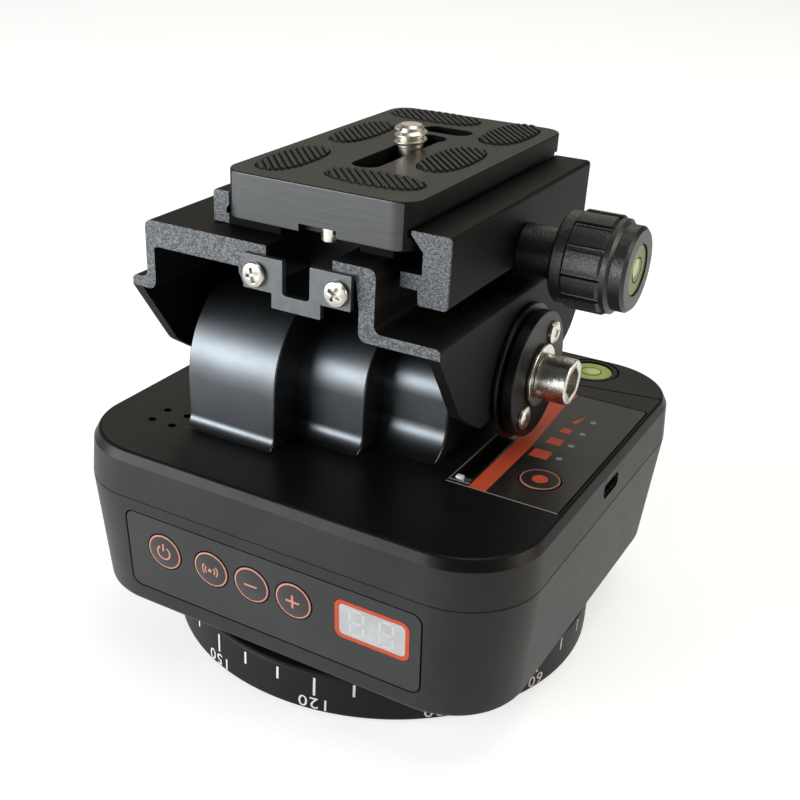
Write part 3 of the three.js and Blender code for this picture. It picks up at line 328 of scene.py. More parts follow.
class Paint:
    """A material whose shader takes plain values, and wires for what varies."""

    def __init__(self, name, **values):
        self.material = bpy.data.materials.new(name)
        self.material.use_nodes = True
        self.tree = self.material.node_tree
        self.shader = self.tree.nodes["Principled BSDF"]
        for socket, value in values.items():
            self.feed(socket.replace("_", " "), value)

    def node(self, kind, settings=None, values=None, output=0):
        made = self.tree.nodes.new(kind)
        for name, value in (settings or {}).items():
            setattr(made, name, value)
        for socket, value in (values or {}).items():
            self.put(made.inputs[socket], value)
        return Wire(self, made.outputs[output])

    def put(self, socket, value):
        if isinstance(value, Wire):
            self.tree.links.new(value.socket, socket)
        else:
            socket.default_value = value

    def feed(self, socket, value):
        self.put(self.shader.inputs[socket], value)

    def place(self):
        return self.node("ShaderNodeTexCoord", output="Object")

    def grain(self, size, detail, roughness=0.55, stretch=(1, 1, 1)):
        """Noise whose grains are about that many millimetres."""
        mapped = self.node(
            "ShaderNodeMapping", values={"Vector": self.place(), "Scale": stretch})
        return self.node(
            "ShaderNodeTexNoise",
            values={"Vector": mapped, "Scale": 1 / (size * MM), "Detail": detail,
                    "Roughness": roughness},
        )

    def blend(self, share, first, second):
        """Two colours mixed by a share."""
        made = self.node("ShaderNodeMix", {"data_type": "RGBA"}, output=2)
        mix = made.socket.node
        self.put(mix.inputs[0], share)
        self.put(mix.inputs[6], first)
        self.put(mix.inputs[7], second)
        return made

    def ramp(self, value, low=0.35, high=0.7):
        """A value taken from 0 to 1 as it goes from low to high."""
        return self.node(
            "ShaderNodeMapRange", {"interpolation_type": "SMOOTHSTEP"},
            {0: value, 1: low, 2: high, 3: 0.0, 4: 1.0},
        )

    def relief(self, height, strength, depth, **below):
        """Bump from a height, whose full step is depth millimetres."""
        return self.node("ShaderNodeBump", values={
            "Height": height, "Strength": strength, "Distance": depth * MM, **below})

    def finish(self, share, first, second, roughness, normal):
        """The material, its colour mixed by a share, with its roughness and relief."""
        self.feed("Base Color", self.blend(share, first, second))
        self.feed("Roughness", roughness)
        self.feed("Normal", normal)
        return self.material


def grey(level, warm=0.0):
    return (level * (1 + warm), level, level * (1 - warm), 1)


def faded(colour, share):
    return (*(channel * share for channel in colour[:3]), 1)


def moulded_plastic(name, colour, bright, roughness, grain=0.35, relief=0.25, specular=0.4,
                    metallic=0.0):
    """Satin plastic with the fine pebble of its mould and faint handling marks."""
    paint = Paint(name, Specular_IOR_Level=specular, Metallic=metallic)
    cloud = paint.grain(14, 3)
    marks = paint.grain(5, 5, 0.7)
    pebble = paint.grain(grain, 2)
    return paint.finish(
        paint.ramp(cloud), colour, bright,
        roughness + (marks - 0.5) * 0.12 + (pebble - 0.5) * 0.08,
        paint.relief(pebble, relief, 0.012))


def black_aluminium(name, colour, bright, roughness, grain=0.28, relief=0.3, depth=0.02,
                    specular=0.5):
    """Anodised aluminium, blasted before it was dyed."""
    paint = Paint(name, Specular_IOR_Level=specular)
    blasted = paint.grain(grain, 3, 0.6)
    cloud = paint.grain(11, 3)
    return paint.finish(
        paint.ramp(cloud), colour, bright,
        roughness + (blasted - 0.5) * 0.18 + (cloud - 0.5) * 0.06,
        paint.relief(blasted, relief, depth))


def rough_cut(name, colour, spark):
    """Blasted end of an extrusion: dark with fine pale grains."""
    paint = Paint(name, Metallic=0.2, Specular_IOR_Level=0.6)
    coarse = paint.grain(0.5, 3, 0.7)
    fine = paint.grain(0.24, 2, 0.6)
    height = coarse * 0.6 + fine * 0.5
    return paint.finish(
        paint.ramp(height, 0.43, 0.68), colour, spark, 0.3 + fine * 0.3,
        paint.relief(height, 1.0, 0.16))


def milled_aluminium(name, colour, bright, roughness):
    """Dyed aluminium with the fine level lines of a milling cutter on its sides."""
    paint = Paint(name, Specular_IOR_Level=0.6)
    lines = paint.grain(0.35, 3, 0.6, (0.03, 0.03, 1))
    blasted = paint.grain(0.3, 3, 0.6)
    return paint.finish(
        paint.ramp(lines), colour, bright,
        roughness + (lines - 0.5) * 0.12 + (blasted - 0.5) * 0.1,
        paint.relief(lines, 0.15, 0.012))


def plated_metal(name, colour, roughness, pits=0.0):
    """Bright plating with a fine haze and hairlines, and pits where it was cast or struck."""
    paint = Paint(name, Metallic=1.0)
    haze = paint.grain(1.6, 5, 0.65)
    hairs = paint.grain(0.5, 4, 0.6, (1, 6, 1))
    relief = paint.relief(hairs, 0.06, 0.01)
    if pits:
        relief = paint.relief(paint.grain(0.55, 3, 0.6), pits, 0.06, Normal=relief)
    return paint.finish(
        paint.ramp(haze, 0.35, 0.75), colour, faded(colour, 0.8),
        roughness + (haze - 0.5) * 0.16 + (hairs - 0.5) * 0.06, relief)


def print_ink(name, colour, roughness=0.5):
    """Printed ink, a little uneven where it is thin."""
    paint = Paint(name, Specular_IOR_Level=0.3)
    thin = paint.grain(0.6, 4, 0.6)
    return paint.finish(
        paint.ramp(thin, 0.55, 0.85), colour, faded(colour, 0.78),
        roughness + (thin - 0.5) * 0.15, paint.relief(thin, 0.12, 0.01))


def ribbed_rubber(name):
    """Rubber with painted shade down in its grooves, and small ticks along each rib."""
    paint = Paint(name, Specular_IOR_Level=0.4)
    where = paint.node("ShaderNodeMapping", values={
        "Vector": paint.place(), "Rotation": (0, 0, math.radians(-RIB_TURN))})
    ticks = paint.node(
        "ShaderNodeTexWave", {"wave_type": "BANDS", "bands_direction": "Y", "wave_profile": "SIN"},
        {"Vector": where, "Scale": math.pi / 10 / (TICK_PITCH * MM), "Distortion": 0.6,
         "Detail": 1.0},
        "Fac")
    dust = paint.grain(0.7, 5, 0.7)
    level = paint.node(
        "ShaderNodeSeparateXYZ", values={"Vector": paint.place()}, output="Z")
    # Painted shade: the colour darkens from the rib tops down into the grooves, by height.
    out_of_groove_shade = paint.ramp(level, (PLATE_TOP + 0.1) * MM, (PLATE_TOP + 0.36) * MM)
    return paint.finish(
        out_of_groove_shade * (0.45 + ticks * 0.35 + dust * 0.4), grey(0.001), grey(0.04, 0.06),
        0.78 - ticks * 0.2, paint.relief(ticks, 0.7, 0.12))


# CASING and SHELL are darker and lighter copies of one plastic. On the cover the darker one is
# painted shade on the top and band, and the lighter one is painted light on the upright walls.
CASING = moulded_plastic("casing_plastic", grey(0.004), grey(0.006, 0.02), 0.4, specular=0.16)
SHELL = moulded_plastic("shell_plastic", grey(0.026), grey(0.033, 0.03), 0.46, specular=0.18)
DRUM = moulded_plastic(
    "drum_coating", grey(0.095, -0.07), grey(0.112, -0.07), 0.38, 0.5, 0.02, 0.5, 1.0)
DIAL = moulded_plastic("dial_plastic", grey(0.007), grey(0.01), 0.5, specular=0.16)
FILM = moulded_plastic("panel_film", grey(0.022), grey(0.028, -0.04), 0.4, 0.25, 0.3, 0.36)
KEYS = moulded_plastic("key_plastic", grey(0.012, 0.05), grey(0.016, 0.05), 0.2, 0.3, 0.08, 0.6)
LABEL = moulded_plastic(
    "label_film", grey(0.011, 0.08), grey(0.016, 0.12), 0.32, 0.3, 0.1, 0.26)
BLACK = black_aluminium("black_aluminium", grey(0.004), grey(0.006, 0.04), 0.56, specular=0.14)
KNOB = black_aluminium(
    "knob_aluminium", grey(0.006), grey(0.014), 0.38, 0.5, 1.0, 0.09, specular=0.6)
PLATE = black_aluminium(
    "plate_aluminium", (0.021, 0.02, 0.0145, 1), (0.027, 0.025, 0.0185, 1), 0.36, 0.3, 0.15,
    specular=0.16)
HUB = black_aluminium(
    "hub_aluminium", grey(0.004), grey(0.008), 0.42, 0.45, 0.8, 0.06, specular=0.3)
MILLED = milled_aluminium(
    "milled_sides", (0.034, 0.036, 0.038, 1), (0.046, 0.048, 0.051, 1), 0.34)
ROUGH = rough_cut("blasted_end", grey(0.009, -0.06), (0.15, 0.16, 0.172, 1))
STAMPED = plated_metal("stamped_steel", grey(0.125, -0.04), 0.42)
NICKEL = plated_metal("bright_nickel", (0.8, 0.76, 0.7, 1), 0.24)
STRUCK = plated_metal("struck_nickel", (0.78, 0.75, 0.69, 1), 0.28, 1.0)
# A darker copy of the struck nickel, as painted shade, for the stop screw heads that face the
# front lamp.
SHADED_HEADS = plated_metal("screw_heads_painted_shade", (0.52, 0.5, 0.45, 1), 0.3, 1.0)
STEEL = plated_metal("turned_steel", (0.45, 0.45, 0.46, 1), 0.3)
EDGE = plated_metal("worn_edge", (0.2, 0.2, 0.205, 1), 0.35)
WARM_STEEL = plated_metal("camera_bolt_steel", (0.84, 0.79, 0.7, 1), 0.34)
ORANGE = print_ink("orange_ink", (0.55, 0.075, 0.03, 1))
PALE_ORANGE = print_ink("pale_orange_ink", (0.66, 0.27, 0.19, 1))
WHITE = print_ink("white_ink", grey(0.78))
COPPER = print_ink("copper_ink", (0.42, 0.17, 0.12, 1))
ASH = print_ink("ash_ink", grey(0.26))
SEGMENT = print_ink("display_segment", grey(0.57), 0.4)
# Near-black plastic with little sheen: the seam line and the vials' printed rings, and painted
# shade on the clamp bed's end faces, in the plate's underside recess and in the charge socket.
DARK_AND_PAINTED_SHADE = moulded_plastic("near_black_and_painted_shade", grey(0.002), grey(0.003), 0.7, specular=0.08)


def lime_fluid(name, colour, bright):
    """Lime spirit under clear plastic, its colour varying in soft clouds."""
    paint = Paint(name, Coat_Weight=0.1, Coat_Roughness=0.1, Specular_IOR_Level=0.25)
    cloud = paint.grain(4, 3)
    return paint.finish(
        paint.ramp(cloud), colour, bright, 0.3 + (cloud - 0.5) * 0.1,
        paint.relief(cloud, 0.05, 0.02))


def frosted_window(name):
    """Pale frosted plastic over an unlit display, its grey varying in soft clouds."""
    paint = Paint(name, Specular_IOR_Level=0.5)
    cloud = paint.grain(4.5, 2, 0.4)
    fine = paint.grain(0.4, 2)
    return paint.finish(
        paint.ramp(cloud, 0.3, 0.7), (0.44, 0.43, 0.44, 1), grey(0.53),
        0.35 + (fine - 0.5) * 0.1, paint.relief(fine, 0.08, 0.01))


LIME = lime_fluid("lime_fluid", (0.34, 0.45, 0.07, 1), (0.42, 0.54, 0.11, 1))
DEEP_LIME = lime_fluid("deep_lime_fluid", (0.11, 0.16, 0.01, 1), (0.17, 0.24, 0.02, 1))
BUBBLE = print_ink("bubble", (0.62, 0.74, 0.32, 1), 0.2)
WINDOW = frosted_window("display_window")
RUBBER = ribbed_rubber("ribbed_rubber")
BRASS = plated_metal("machined_brass", (0.5, 0.35, 0.13, 1), 0.32)
CIRCUIT = moulded_plastic("circuit_board", (0.006, 0.02, 0.01, 1), (0.01, 0.03, 0.014, 1), 0.6)
CELLS = moulded_plastic("cell_wrap", (0.03, 0.08, 0.2, 1), (0.04, 0.1, 0.25, 1), 0.4)
SLIDER = moulded_plastic("slider_plastic", grey(0.12), grey(0.17), 0.5)
PALE = moulded_plastic("pale_plastic", grey(0.55), grey(0.65), 0.45)


# Dial


def figures(number):
    """A number as a thin flat form, centred on the origin."""
    curve = bpy.data.curves.new("figures", "FONT")
    curve.body = str(number)
    curve.size = 3.75
    curve.align_x = curve.align_y = "CENTER"
    curve.extrude = 0.03
    curve.space_character = 1.12
    curve.resolution_u = 4
    form = evaluated(linked("figures", curve))
    bpy.data.curves.remove(curve)
    bmesh.ops.scale(form, vec=(1.12, 1, 1), verts=form.verts)
    return form


def wrapped(form, degrees, height):
    """A flat form wound upside down round the dial, at that angle and height."""
    for vert in form.verts:
        angle = math.radians(degrees) - vert.co.x / DIAL_RADIUS
        radius = DIAL_RADIUS + vert.co.z
        vert.co = Vector((radius * math.cos(angle), radius * math.sin(angle), height - vert.co.y))
    return form


ZERO_MARK = 42.2
TICK_TOP = 8.6
FIGURE_HEIGHT = 2.5


def build_dial():
    dial = turned([
        (44.8, 0), (45.6, 0.8), (45.6, DIAL_TOP - 0.6), (45.0, DIAL_TOP), (9.3, DIAL_TOP),
        (9.3, DIAL_TOP - 3), (42.6, DIAL_TOP - 3), (42.6, 0),
    ], 192)
    piece("dial_body", rounded(dial, 0.25, 3, 20), "base", DIAL, "dial_base")
    marks = []
    for value in range(0, 360, 10):
        length = 4.3 if value % 30 == 0 else 2.9
        tick = block(DIAL_RADIUS - 0.3, DIAL_RADIUS + 0.04, -0.25, 0.25, TICK_TOP - length,
                     TICK_TOP)
        marks.append(turned_about(tick, "Z", ZERO_MARK - value))
        if value % 30 == 0:
            marks.append(wrapped(figures(value), ZERO_MARK - value, FIGURE_HEIGHT))
    piece("dial_marks", join(*marks), "base", WHITE)
    base = turned([(8.8, 0), (42.3, 0), (42.3, 3), (6.6, 3), (6.6, 1.3), (8.8, 1.3)], 128)
    piece("mount_plate_disc", rounded(base, 0.25, 2), "base", BLACK, "mount_plate")
    bush = turned([
        (4, 0), (8.5, 0), (8.5, 1.2), (6.3, 1.2), (6.3, 12), (0, 12), (0, 10), (4, 10),
    ], 96)
    piece("tripod_bush_turned", rounded(bush, 0.25, 2), "base", STEEL, "tripod_bush")


# Housing


def housing_block(half_low, low, half_high, high, corner=CORNER):
    """A square block with a draft and round upright corners."""
    form = bmesh.new()
    bmesh.ops.create_cube(form, size=2)
    for vert in form.verts:
        half, level = (half_high, high) if vert.co.z > 0 else (half_low, low)
        vert.co = Vector((math.copysign(half, vert.co.x), math.copysign(half, vert.co.y), level))
    upright = [edge for edge in form.edges
               if abs(edge.verts[0].co.z - edge.verts[1].co.z) > 1]
    return bevel(form, upright, corner, CORNER_STEPS)


def at_height(level):
    return lambda edge: all(abs(vert.co.z - level) < 0.01 for vert in edge.verts)


FOOT = HOUSING - (SEAM - SHELL_LOW) * SHELL_DRAFT
BAND_HEIGHT = 2.1
BAND_IN = 0.93
SHOULDER = HOUSING - (COVER_TOP - BAND_HEIGHT - SEAM) * COVER_DRAFT
KEY_DROP = -9.85
KEYS_AT = {"power": -23.2, "channel": -12.0, "minus": -2.6, "plus": 6.8}
PANEL = (-32.2, 33.2, -20.5, -2.8)
SCREEN = (15.8, 30.9, -13.9, -5.5)
LEVEL_AT = (28.8, 40.2)
RECORD_AT = (38.9, -13.5)
RECORD_HOLE = 4.1
SPEAKER_AT = (-33.9, -31.4)
SWITCH_SLOT = (24.6, 28.3, -22, -1)
SOCKET = (-3.0, 5.0, 40.55, 43.65)


def build_shell():
    outer = housing_block(FOOT, SHELL_LOW, HOUSING, SEAM)
    outer = rounded(outer, 1.2, 4, 30, at_height(SHELL_LOW))
    outer = rounded(outer, 0.25, 2, 30, at_height(SEAM))
    past = 3
    inner = housing_block(
        FOOT - WALL, SHELL_LOW + WALL, HOUSING - WALL + past * SHELL_DRAFT, SEAM + past,
        CORNER - WALL)
    tools = [inner, rod(12.7, SHELL_LOW - 1, SHELL_LOW + 4, 64)]
    tools.append(laid(slab(PANEL, 2.2, -0.9, 2, grow=0.3), FRONT_WALL))
    for x in KEYS_AT.values():
        tools.append(laid(moved(rod(5.0, -4, 1, 32), x, KEY_DROP), FRONT_WALL))
    tools.append(laid(slab(SCREEN, 1, -4, 1, grow=0.3), FRONT_WALL))
    piece("shell_body", cut(outer, *tools), "housing", SHELL, "lower_shell")


HUMPS = (  # length, half width, round, rise, foot flare
    (20.2, 30.9, 18.4, 28.7, 2.4),
    (14.55, 22.0, 12.7, 23.3, 3.4),
    (13.95, 14.5, 8.6, 19.3, 5.6),
)
DRUM_START = -29.1
DRUM_WALL = 2.0


def hump_outline(half, top, bend, flare):
    low = CEILING - 0.5
    foot = COVER_TOP - 0.03
    return [
        (-half - flare, low), (-half - flare, foot), (-half, foot, flare * 0.98),
        (-half, top, bend), (half, top, bend), (half, foot, flare * 0.98),
        (half + flare, foot), (half + flare, low),
    ]


def beveled_block():
    """The cover's outer form: drafted walls and a sloped band round its top."""
    shoulder = COVER_TOP - BAND_HEIGHT
    form = housing_block(HOUSING, SEAM + 0.1, SHOULDER, shoulder)
    lid = max(form.faces, key=lambda face: face.calc_center_median().z)
    inward = 1 - BAND_IN / SHOULDER
    bmesh.ops.scale(form, vec=(inward, inward, 1), verts=extruded(form, [lid], BAND_HEIGHT))
    form = rounded(outward(form), 0.5, 3, 15, at_height(COVER_TOP))
    form = rounded(form, 0.18, 2, 15, at_height(shoulder))
    return rounded(form, 0.2, 2, 30, at_height(SEAM + 0.1))


def build_cover():
    cover = beveled_block()
    inner = housing_block(HOUSING - WALL, SEAM - 1, HOUSING - WALL - 8 * COVER_DRAFT, CEILING,
                          CORNER - WALL)
    humps, hollows = [], []
    x = DRUM_START
    for i, (length, half, bend, rise, flare) in enumerate(HUMPS):
        top = COVER_TOP + rise
        start = x - DRUM_WALL if i else x
        hump = laid(prism(hump_outline(half, top, bend, flare), start, x + length, 28), ALONG_X)
        humps.append(rounded(hump, 0.35, 3, 60))
        gap = DRUM_WALL
        hollow = [
            (gap - half, CEILING - 2), (gap - half, top - gap, bend - gap),
            (half - gap, top - gap, bend - gap), (half - gap, CEILING - 2),
        ]
        open_from = x + DRUM_WALL if i == 0 else x - DRUM_WALL - 0.5
        hollows.append(laid(prism(hollow, open_from, x + length - DRUM_WALL, 12), ALONG_X))
        x += length
    tools = [
        slab((23.9, 46.6, -23.5, 26.2), 0.9, COVER_TOP - 0.45, COVER_TOP + 2),
        block(*SWITCH_SLOT, CEILING - 1, COVER_TOP + 1),
        moved(rod(RECORD_HOLE, CEILING - 1, COVER_TOP + 1, 48), *RECORD_AT),
        moved(rod(6.2, COVER_TOP - 4, COVER_TOP + 1, 64), *LEVEL_AT),
        laid(slab(SOCKET, 1.3, 44.5, 52, 8), ALONG_X),
        crosswise(rod(4.9, DRUM_START - 1, DRUM_START + 3, 48)),
        crosswise(rod(3.9, x - 3, x + 1, 48)),
    ]
    for side in (-2.5, 2.5):
        for depth in (-2.5, 2.5):
            hole = rod(0.85, CEILING - 1, COVER_TOP + 1, 24)
            tools.append(moved(hole, SPEAKER_AT[0] + side, SPEAKER_AT[1] + depth))
    whole = cut(fused(cut(cover, inner), *humps), *hollows, *tools)
    drum_reach = 34
    whole = painted(whole, 1, lambda at, facing: (
        at.z > COVER_TOP - 0.02 and DRUM_START - 0.1 <= at.x <= x + 0.1
        and abs(at.y) < drum_reach and (at.z > COVER_TOP + 0.01 or abs(facing.z) < 0.99)))
    # Painted light and shade: the upright walls below the band are given the lighter shell
    # plastic, while the top and band of this one moulding keep the near-black casing plastic.
    whole = painted(whole, 2, lambda at, facing: (
        abs(facing.z) < 0.4 and at.z < COVER_TOP - BAND_HEIGHT + 0.1
        and max(abs(at.x), abs(at.y)) > drum_reach))
    piece("cover_body", whole, "housing", [CASING, DRUM, SHELL], "top_cover")


# Front panel, drawn in the frame of the drafted front wall


KEY_RADIUS = 3.9
KEY_RIM = 0.05
KEY_DOME = 0.35
MARK_LIFT = 0.035


def key_height(radius):
    return KEY_RIM + KEY_DOME * (1 - (radius / KEY_RADIUS) ** 2)


def ring_band(inner, outer, low, high, steps=48, start=0.0, sweep=360.0):
    """Part of a flat ring, spun from its section."""
    form = bmesh.new()
    section = [(inner, 0, low), (outer, 0, low), (outer, 0, high), (inner, 0, high)]
    verts = [form.verts.new(corner) for corner in section]
    face = form.faces.new(verts)
    whole = sweep >= 360
    geometry = verts + list(face.edges) + ([] if whole else [face])
    if whole:
        form.faces.remove(face)
    form = spun(form, geometry, sweep, steps, whole)
    return turned_about(closed(merged(form)), "Z", start)


def on_key(form):
    """A flat form laid over the dome of a key."""
    long_edges = [edge for edge in form.edges if edge.calc_length() > 0.6]
    bmesh.ops.subdivide_edges(form, edges=long_edges, cuts=7, use_grid_fill=True)
    for vert in form.verts:
        vert.co.z += key_height(math.hypot(vert.co.x, vert.co.y)) + MARK_LIFT
    return form


def key_icon(name):
    if name == "power":
        return [ring_band(1.3, 1.66, -0.1, 0, 36, 122, 296), block(-0.2, 0.2, 0.4, 2.0, -0.1, 0)]
    if name == "minus":
        return [block(-1.45, 1.45, -0.2, 0.2, -0.1, 0)]
    if name == "plus":
        return [block(-1.5, 1.5, -0.22, 0.22, -0.1, 0), block(-0.22, 0.22, -1.5, 1.5, -0.1, 0)]
    waves = [rod(0.42, -0.1, 0, 20)]
    for radius in (0.95, 1.6):
        for start in (-40, 140):
            waves.append(ring_band(radius, radius + 0.3, -0.1, 0, 14, start, 80))
    return waves


def build_panel():
    panel = rounded(slab(PANEL, 2, -0.8, 0.0, 8), 0.12, 2, 60, at_height(0.0))
    tools = [moved(rod(4.15, -2, 1, 64), x, KEY_DROP) for x in KEYS_AT.values()]
    tools.append(slab(SCREEN, 1.5, -2, 1, 8, 0.15))
    piece("panel_film", laid(cut(panel, *tools), FRONT_WALL), "housing", FILM,
          "front_panel")
    window = rounded(slab(SCREEN, 1.5, -0.8, -0.02, 8), 0.1, 2, 60)
    piece("display_pane", laid(window, FRONT_WALL), "housing", WINDOW,
          "display_window")
    frame_ring = cut(slab(SCREEN, 1.6, -0.1, 0.05, 8, 0.1), slab(SCREEN, 1.0, -1, 1, 8, -0.72))
    piece("display_border", laid(frame_ring, FRONT_WALL), "housing", ORANGE)
    bars = []
    for centre in (20.3, 26.4):
        strokes = [(across, up, 0.3, 1.05) for across in (-1.35, 1.35) for up in (-1.4, 1.4)]
        strokes += [(0, up, 0.95, 0.3) for up in (-2.75, 0, 2.75)]
        for across, up, wide, tall in strokes:
            x, y = centre + across, (SCREEN[2] + SCREEN[3]) / 2 + up
            bars.append(block(x - wide, x + wide, y - tall, y + tall, -0.05, 0.0))
    piece("display_segments", laid(join(*bars), FRONT_WALL), "housing", SEGMENT)
    for name, x in KEYS_AT.items():
        profile = [(0, -3.5), (1.5, -3.5), (1.5, -1.6), (4.7, -1.6), (4.7, -1.0),
                   (KEY_RADIUS, -1.0)]
        profile += [(KEY_RADIUS * share, key_height(KEY_RADIUS * share))
                    for share in (1.0, 0.96, 0.9, 0.8, 0.65, 0.5, 0.3, 0.15, 0.0)]
        key = turned(profile, 64)
        piece(name + "_key", laid(moved(key, x, KEY_DROP), FRONT_WALL), name + "_key",
              KEYS, name + "_button")
        border = ring_band(3.5, 3.8, -0.12, 0, 64)
        marks = on_key(join(border, *key_icon(name)))
        piece(name + "_mark", laid(moved(marks, x, KEY_DROP), FRONT_WALL), name + "_key",
              PALE_ORANGE, sharp=60)


# Label, switch, keys, level and socket of the cover


def build_top():
    film = slab((24, 46.25, -23.4, 25.9), 0.8, COVER_TOP - 0.35, COVER_TOP, 6)
    film = cut(
        film, block(*SWITCH_SLOT, CEILING, COVER_TOP + 1),
        moved(rod(RECORD_HOLE, CEILING, COVER_TOP + 1, 64), *RECORD_AT))
    piece("label_sheet", film, "housing", LABEL, "top_label")
    low, high = COVER_TOP - 0.1, COVER_TOP + 0.03
    stripe = [(28.8, -23.2), (32.2, -23.2), (32.2, -1.5, 14), (31.0, 17.5, 20), (31.2, 25.9),
              (27.0, 25.9), (26.9, 17.5, 20), (28.8, -2.5, 14)]
    bars = [prism(corners, low, high) for corners in (
        [(33.1, -5.4), (36.8, -5.4), (36.8, -1.9), (33.1, -1.9)],
        [(33.8, 1.4), (36.8, 1.4), (36.7, 4.2), (33.9, 4.2)],
        [(34.3, 7.2), (36.5, 7.2), (36.3, 9.4), (34.5, 9.4)],
        [(34.8, 12.3), (36.0, 12.5), (36.5, 16.3), (35.5, 14.4)],
    )]
    piece("label_stripe", join(prism(stripe, low, high, 16), *bars), "housing",
          ORANGE)
    dots = [moved(rod(0.62, low, high, 24), 38.7, y) for y in (-3.6, 2.7, 8.8, 14.9)]
    lines = [
        block(24.35, 24.5, -22.3, -1.0, low, high), block(24.3, 28.5, -22.3, -22.05, low, high),
        block(24.2, 46.2, -23.35, -23.15, low, high),
    ]
    piece("label_lines", join(*dots, *lines), "housing", ASH)
    seam = turned_about(block(29.6, 47.0, -0.2, 0.2, COVER_TOP - 0.3, COVER_TOP + 0.02), "Z",
                        9.7, (29.6, 0, 0))
    piece("cover_line", moved(seam, 0, 31), "housing", DARK_AND_PAINTED_SHADE)
    slider = rounded(block(24.9, 28.0, -21.7, -18.7, 43.6, 46.2), 0.2, 2)
    nub = rounded(block(25.2, 26.6, -21.2, -20.1, 46.0, 47.4), 0.15, 2)
    switch = join(slider, painted(nub, 1))
    piece("mode_switch_cap", switch, "mode_switch", [SLIDER, WHITE],
          "mode_slider")
    top = COVER_TOP
    record = turned([
        (0, 41.3), (1.5, 41.3), (1.5, 43.5), (4.7, 43.5), (4.7, 44.6), (3.8, 44.6), (3.8, top),
        (3.7, top + 0.2), (0, top + 0.2),
    ], 64)
    piece("record_cap", moved(rounded(record, 0.08, 2), *RECORD_AT), "record_key",
          LABEL, "record_button")
    ring = ring_band(3.5, 3.76, top + 0.02, top + 0.21, 64)
    piece("record_ring", moved(ring, *RECORD_AT), "record_key", COPPER)
    dot = rod(1.5, top + 0.1, top + 0.25, 40)
    piece("record_dot", moved(dot, *RECORD_AT), "record_key", ORANGE)
    cup = turned([
        (0, 44.1), (5.9, 44.1), (5.9, top), (4.8, top), (4.8, 45.2), (0, 45.2),
    ], 96)
    piece("level_cup", moved(rounded(cup, 0.2, 2), *LEVEL_AT), "housing", CASING,
          "level_ring")
    build_vial("level", "housing", 4.7, 45.3, 46.8, Matrix.Translation((*LEVEL_AT, 0)),
               "level_vial", (0.3, 0.5), LIME)
    # Painted shade: the socket's liner is near black for the shade inside the opening; its tongue
    # is steel.
    port = cut(
        laid(slab(SOCKET, 1.1, 40.9, 47.9, 8, -0.3), ALONG_X),
        laid(slab(SOCKET, 0.8, 43.5, 49, 8, -0.7), ALONG_X))
    tongue = painted(block(43.4, 46.6, -0.8, 2.8, 41.8, 42.4), 1)
    piece("charge_socket", join(port, tongue), "housing", [DARK_AND_PAINTED_SHADE, STEEL],
          "charge_port")


def build_vial(name, body, radius, low, high, place, node, bubble_at, paint):
    """A round spirit vial: fluid, the ring round its middle, and the bubble."""
    fluid = rounded(rod(radius, low, high, 64), 0.25, 3)
    piece(name + "_fluid", laid(fluid, place), body, paint, node)
    ring = ring_band(2.15, 2.35, high - 0.1, high + 0.03)
    piece(name + "_circle", laid(ring, place), body, DARK_AND_PAINTED_SHADE)
    bubble = turned([(0, high - 0.1), (1.7, high - 0.1), (1.6, high + 0.02), (1.0, high + 0.1),
                     (0, high + 0.14)], 40)
    piece(name + "_bubble", laid(moved(bubble, *bubble_at), place), body, BUBBLE)


# Bracket, an extrusion along Y with blasted ends


def tilted(height):
    return TILT_AXIS + height


def bracket_section():
    top, shoulder, low, foot = CLAMP_TOP, tilted(16.7), tilted(14.5), tilted(-5.6)
    under = top - 7.5
    return [
        (-37.1, foot), (-37.1, shoulder, 1), (-33.5, shoulder, 1.4), (-33.5, top, 1.4),
        (14.8, top, 1.4), (14.8, shoulder, 1.4), (27.4, shoulder, 1), (27.4, foot),
        (25.2, foot), (25.2, low), (11.8, low, 2), (11.8, under), (11.0, top - 2.5),
        (10.6, top - 2.5), (10.6, under), (-11.8, under), (-12.7, under + 1.7),
        (-12.7, top - 4.8), (-31.6, top - 4.8, 0.8), (-31.6, low, 2), (-34.9, low), (-34.9, foot),
    ]


BRACKET_HALF = 36.3
STOP_SCREWS = {"left": (-8.3, 12), "right": (8.3, -28)}  # x and turn of the cross
STOP_SCREW_HEIGHT = 84.4
HUB_SCREW = (5.4, 6.9)
PINS = (-20, 20)
PIN_HEIGHT = CLAMP_TOP - 2.7


def build_bracket():
    half = BRACKET_HALF
    extrusion = laid(prism(bracket_section(), -half, half, 8), ALONG_Y)
    side = [
        (-half, CLAMP_TOP + 2), (-half, tilted(14.7)), (-26.3, tilted(0.4), 6),
        (-21.1, tilted(-3), 5), (-17, tilted(-5.6)), (17, tilted(-5.6)), (21.1, tilted(-3), 5),
        (26.3, tilted(0.4), 6), (half, tilted(14.7)), (half, CLAMP_TOP + 2),
    ]
    mask = laid(prism(side, -40, 30, 10), ALONG_X)
    whole = worked(extrusion, [mask], "INTERSECT")
    tools = [
        block(-6.9, 6.5, -half - 1, -22, CLAMP_TOP - 8.5, CLAMP_TOP + 1),
        crosswise(rod(3.1, -1, 16, 32), KNOB_AXIS),
        crosswise(rod(2.5, 24, 29, 32)),
        crosswise(rod(2.8, -38, -34, 32)),
    ]
    tools += [crosswise(rod(1.15, 3.9, 16, 24), PIN_HEIGHT, y) for y in PINS]
    tools += stop_screw_holes(-half - 1, -half + 7)
    tools += [crosswise(rod(1.4, 24, 29, 24), tilted(turn * HUB_SCREW[1]), turn * HUB_SCREW[0])
              for turn in (-1, 1)]
    whole = cut(whole, *tools)
    bmesh.ops.dissolve_limit(whole, angle_limit=math.radians(0.5), verts=whole.verts,
                             edges=whole.edges)
    piece("bracket_extrusion", blasted_ends(whole, half - 0.1), "bracket",
          [BLACK, ROUGH, EDGE], "tilt_bracket", sharp=40)


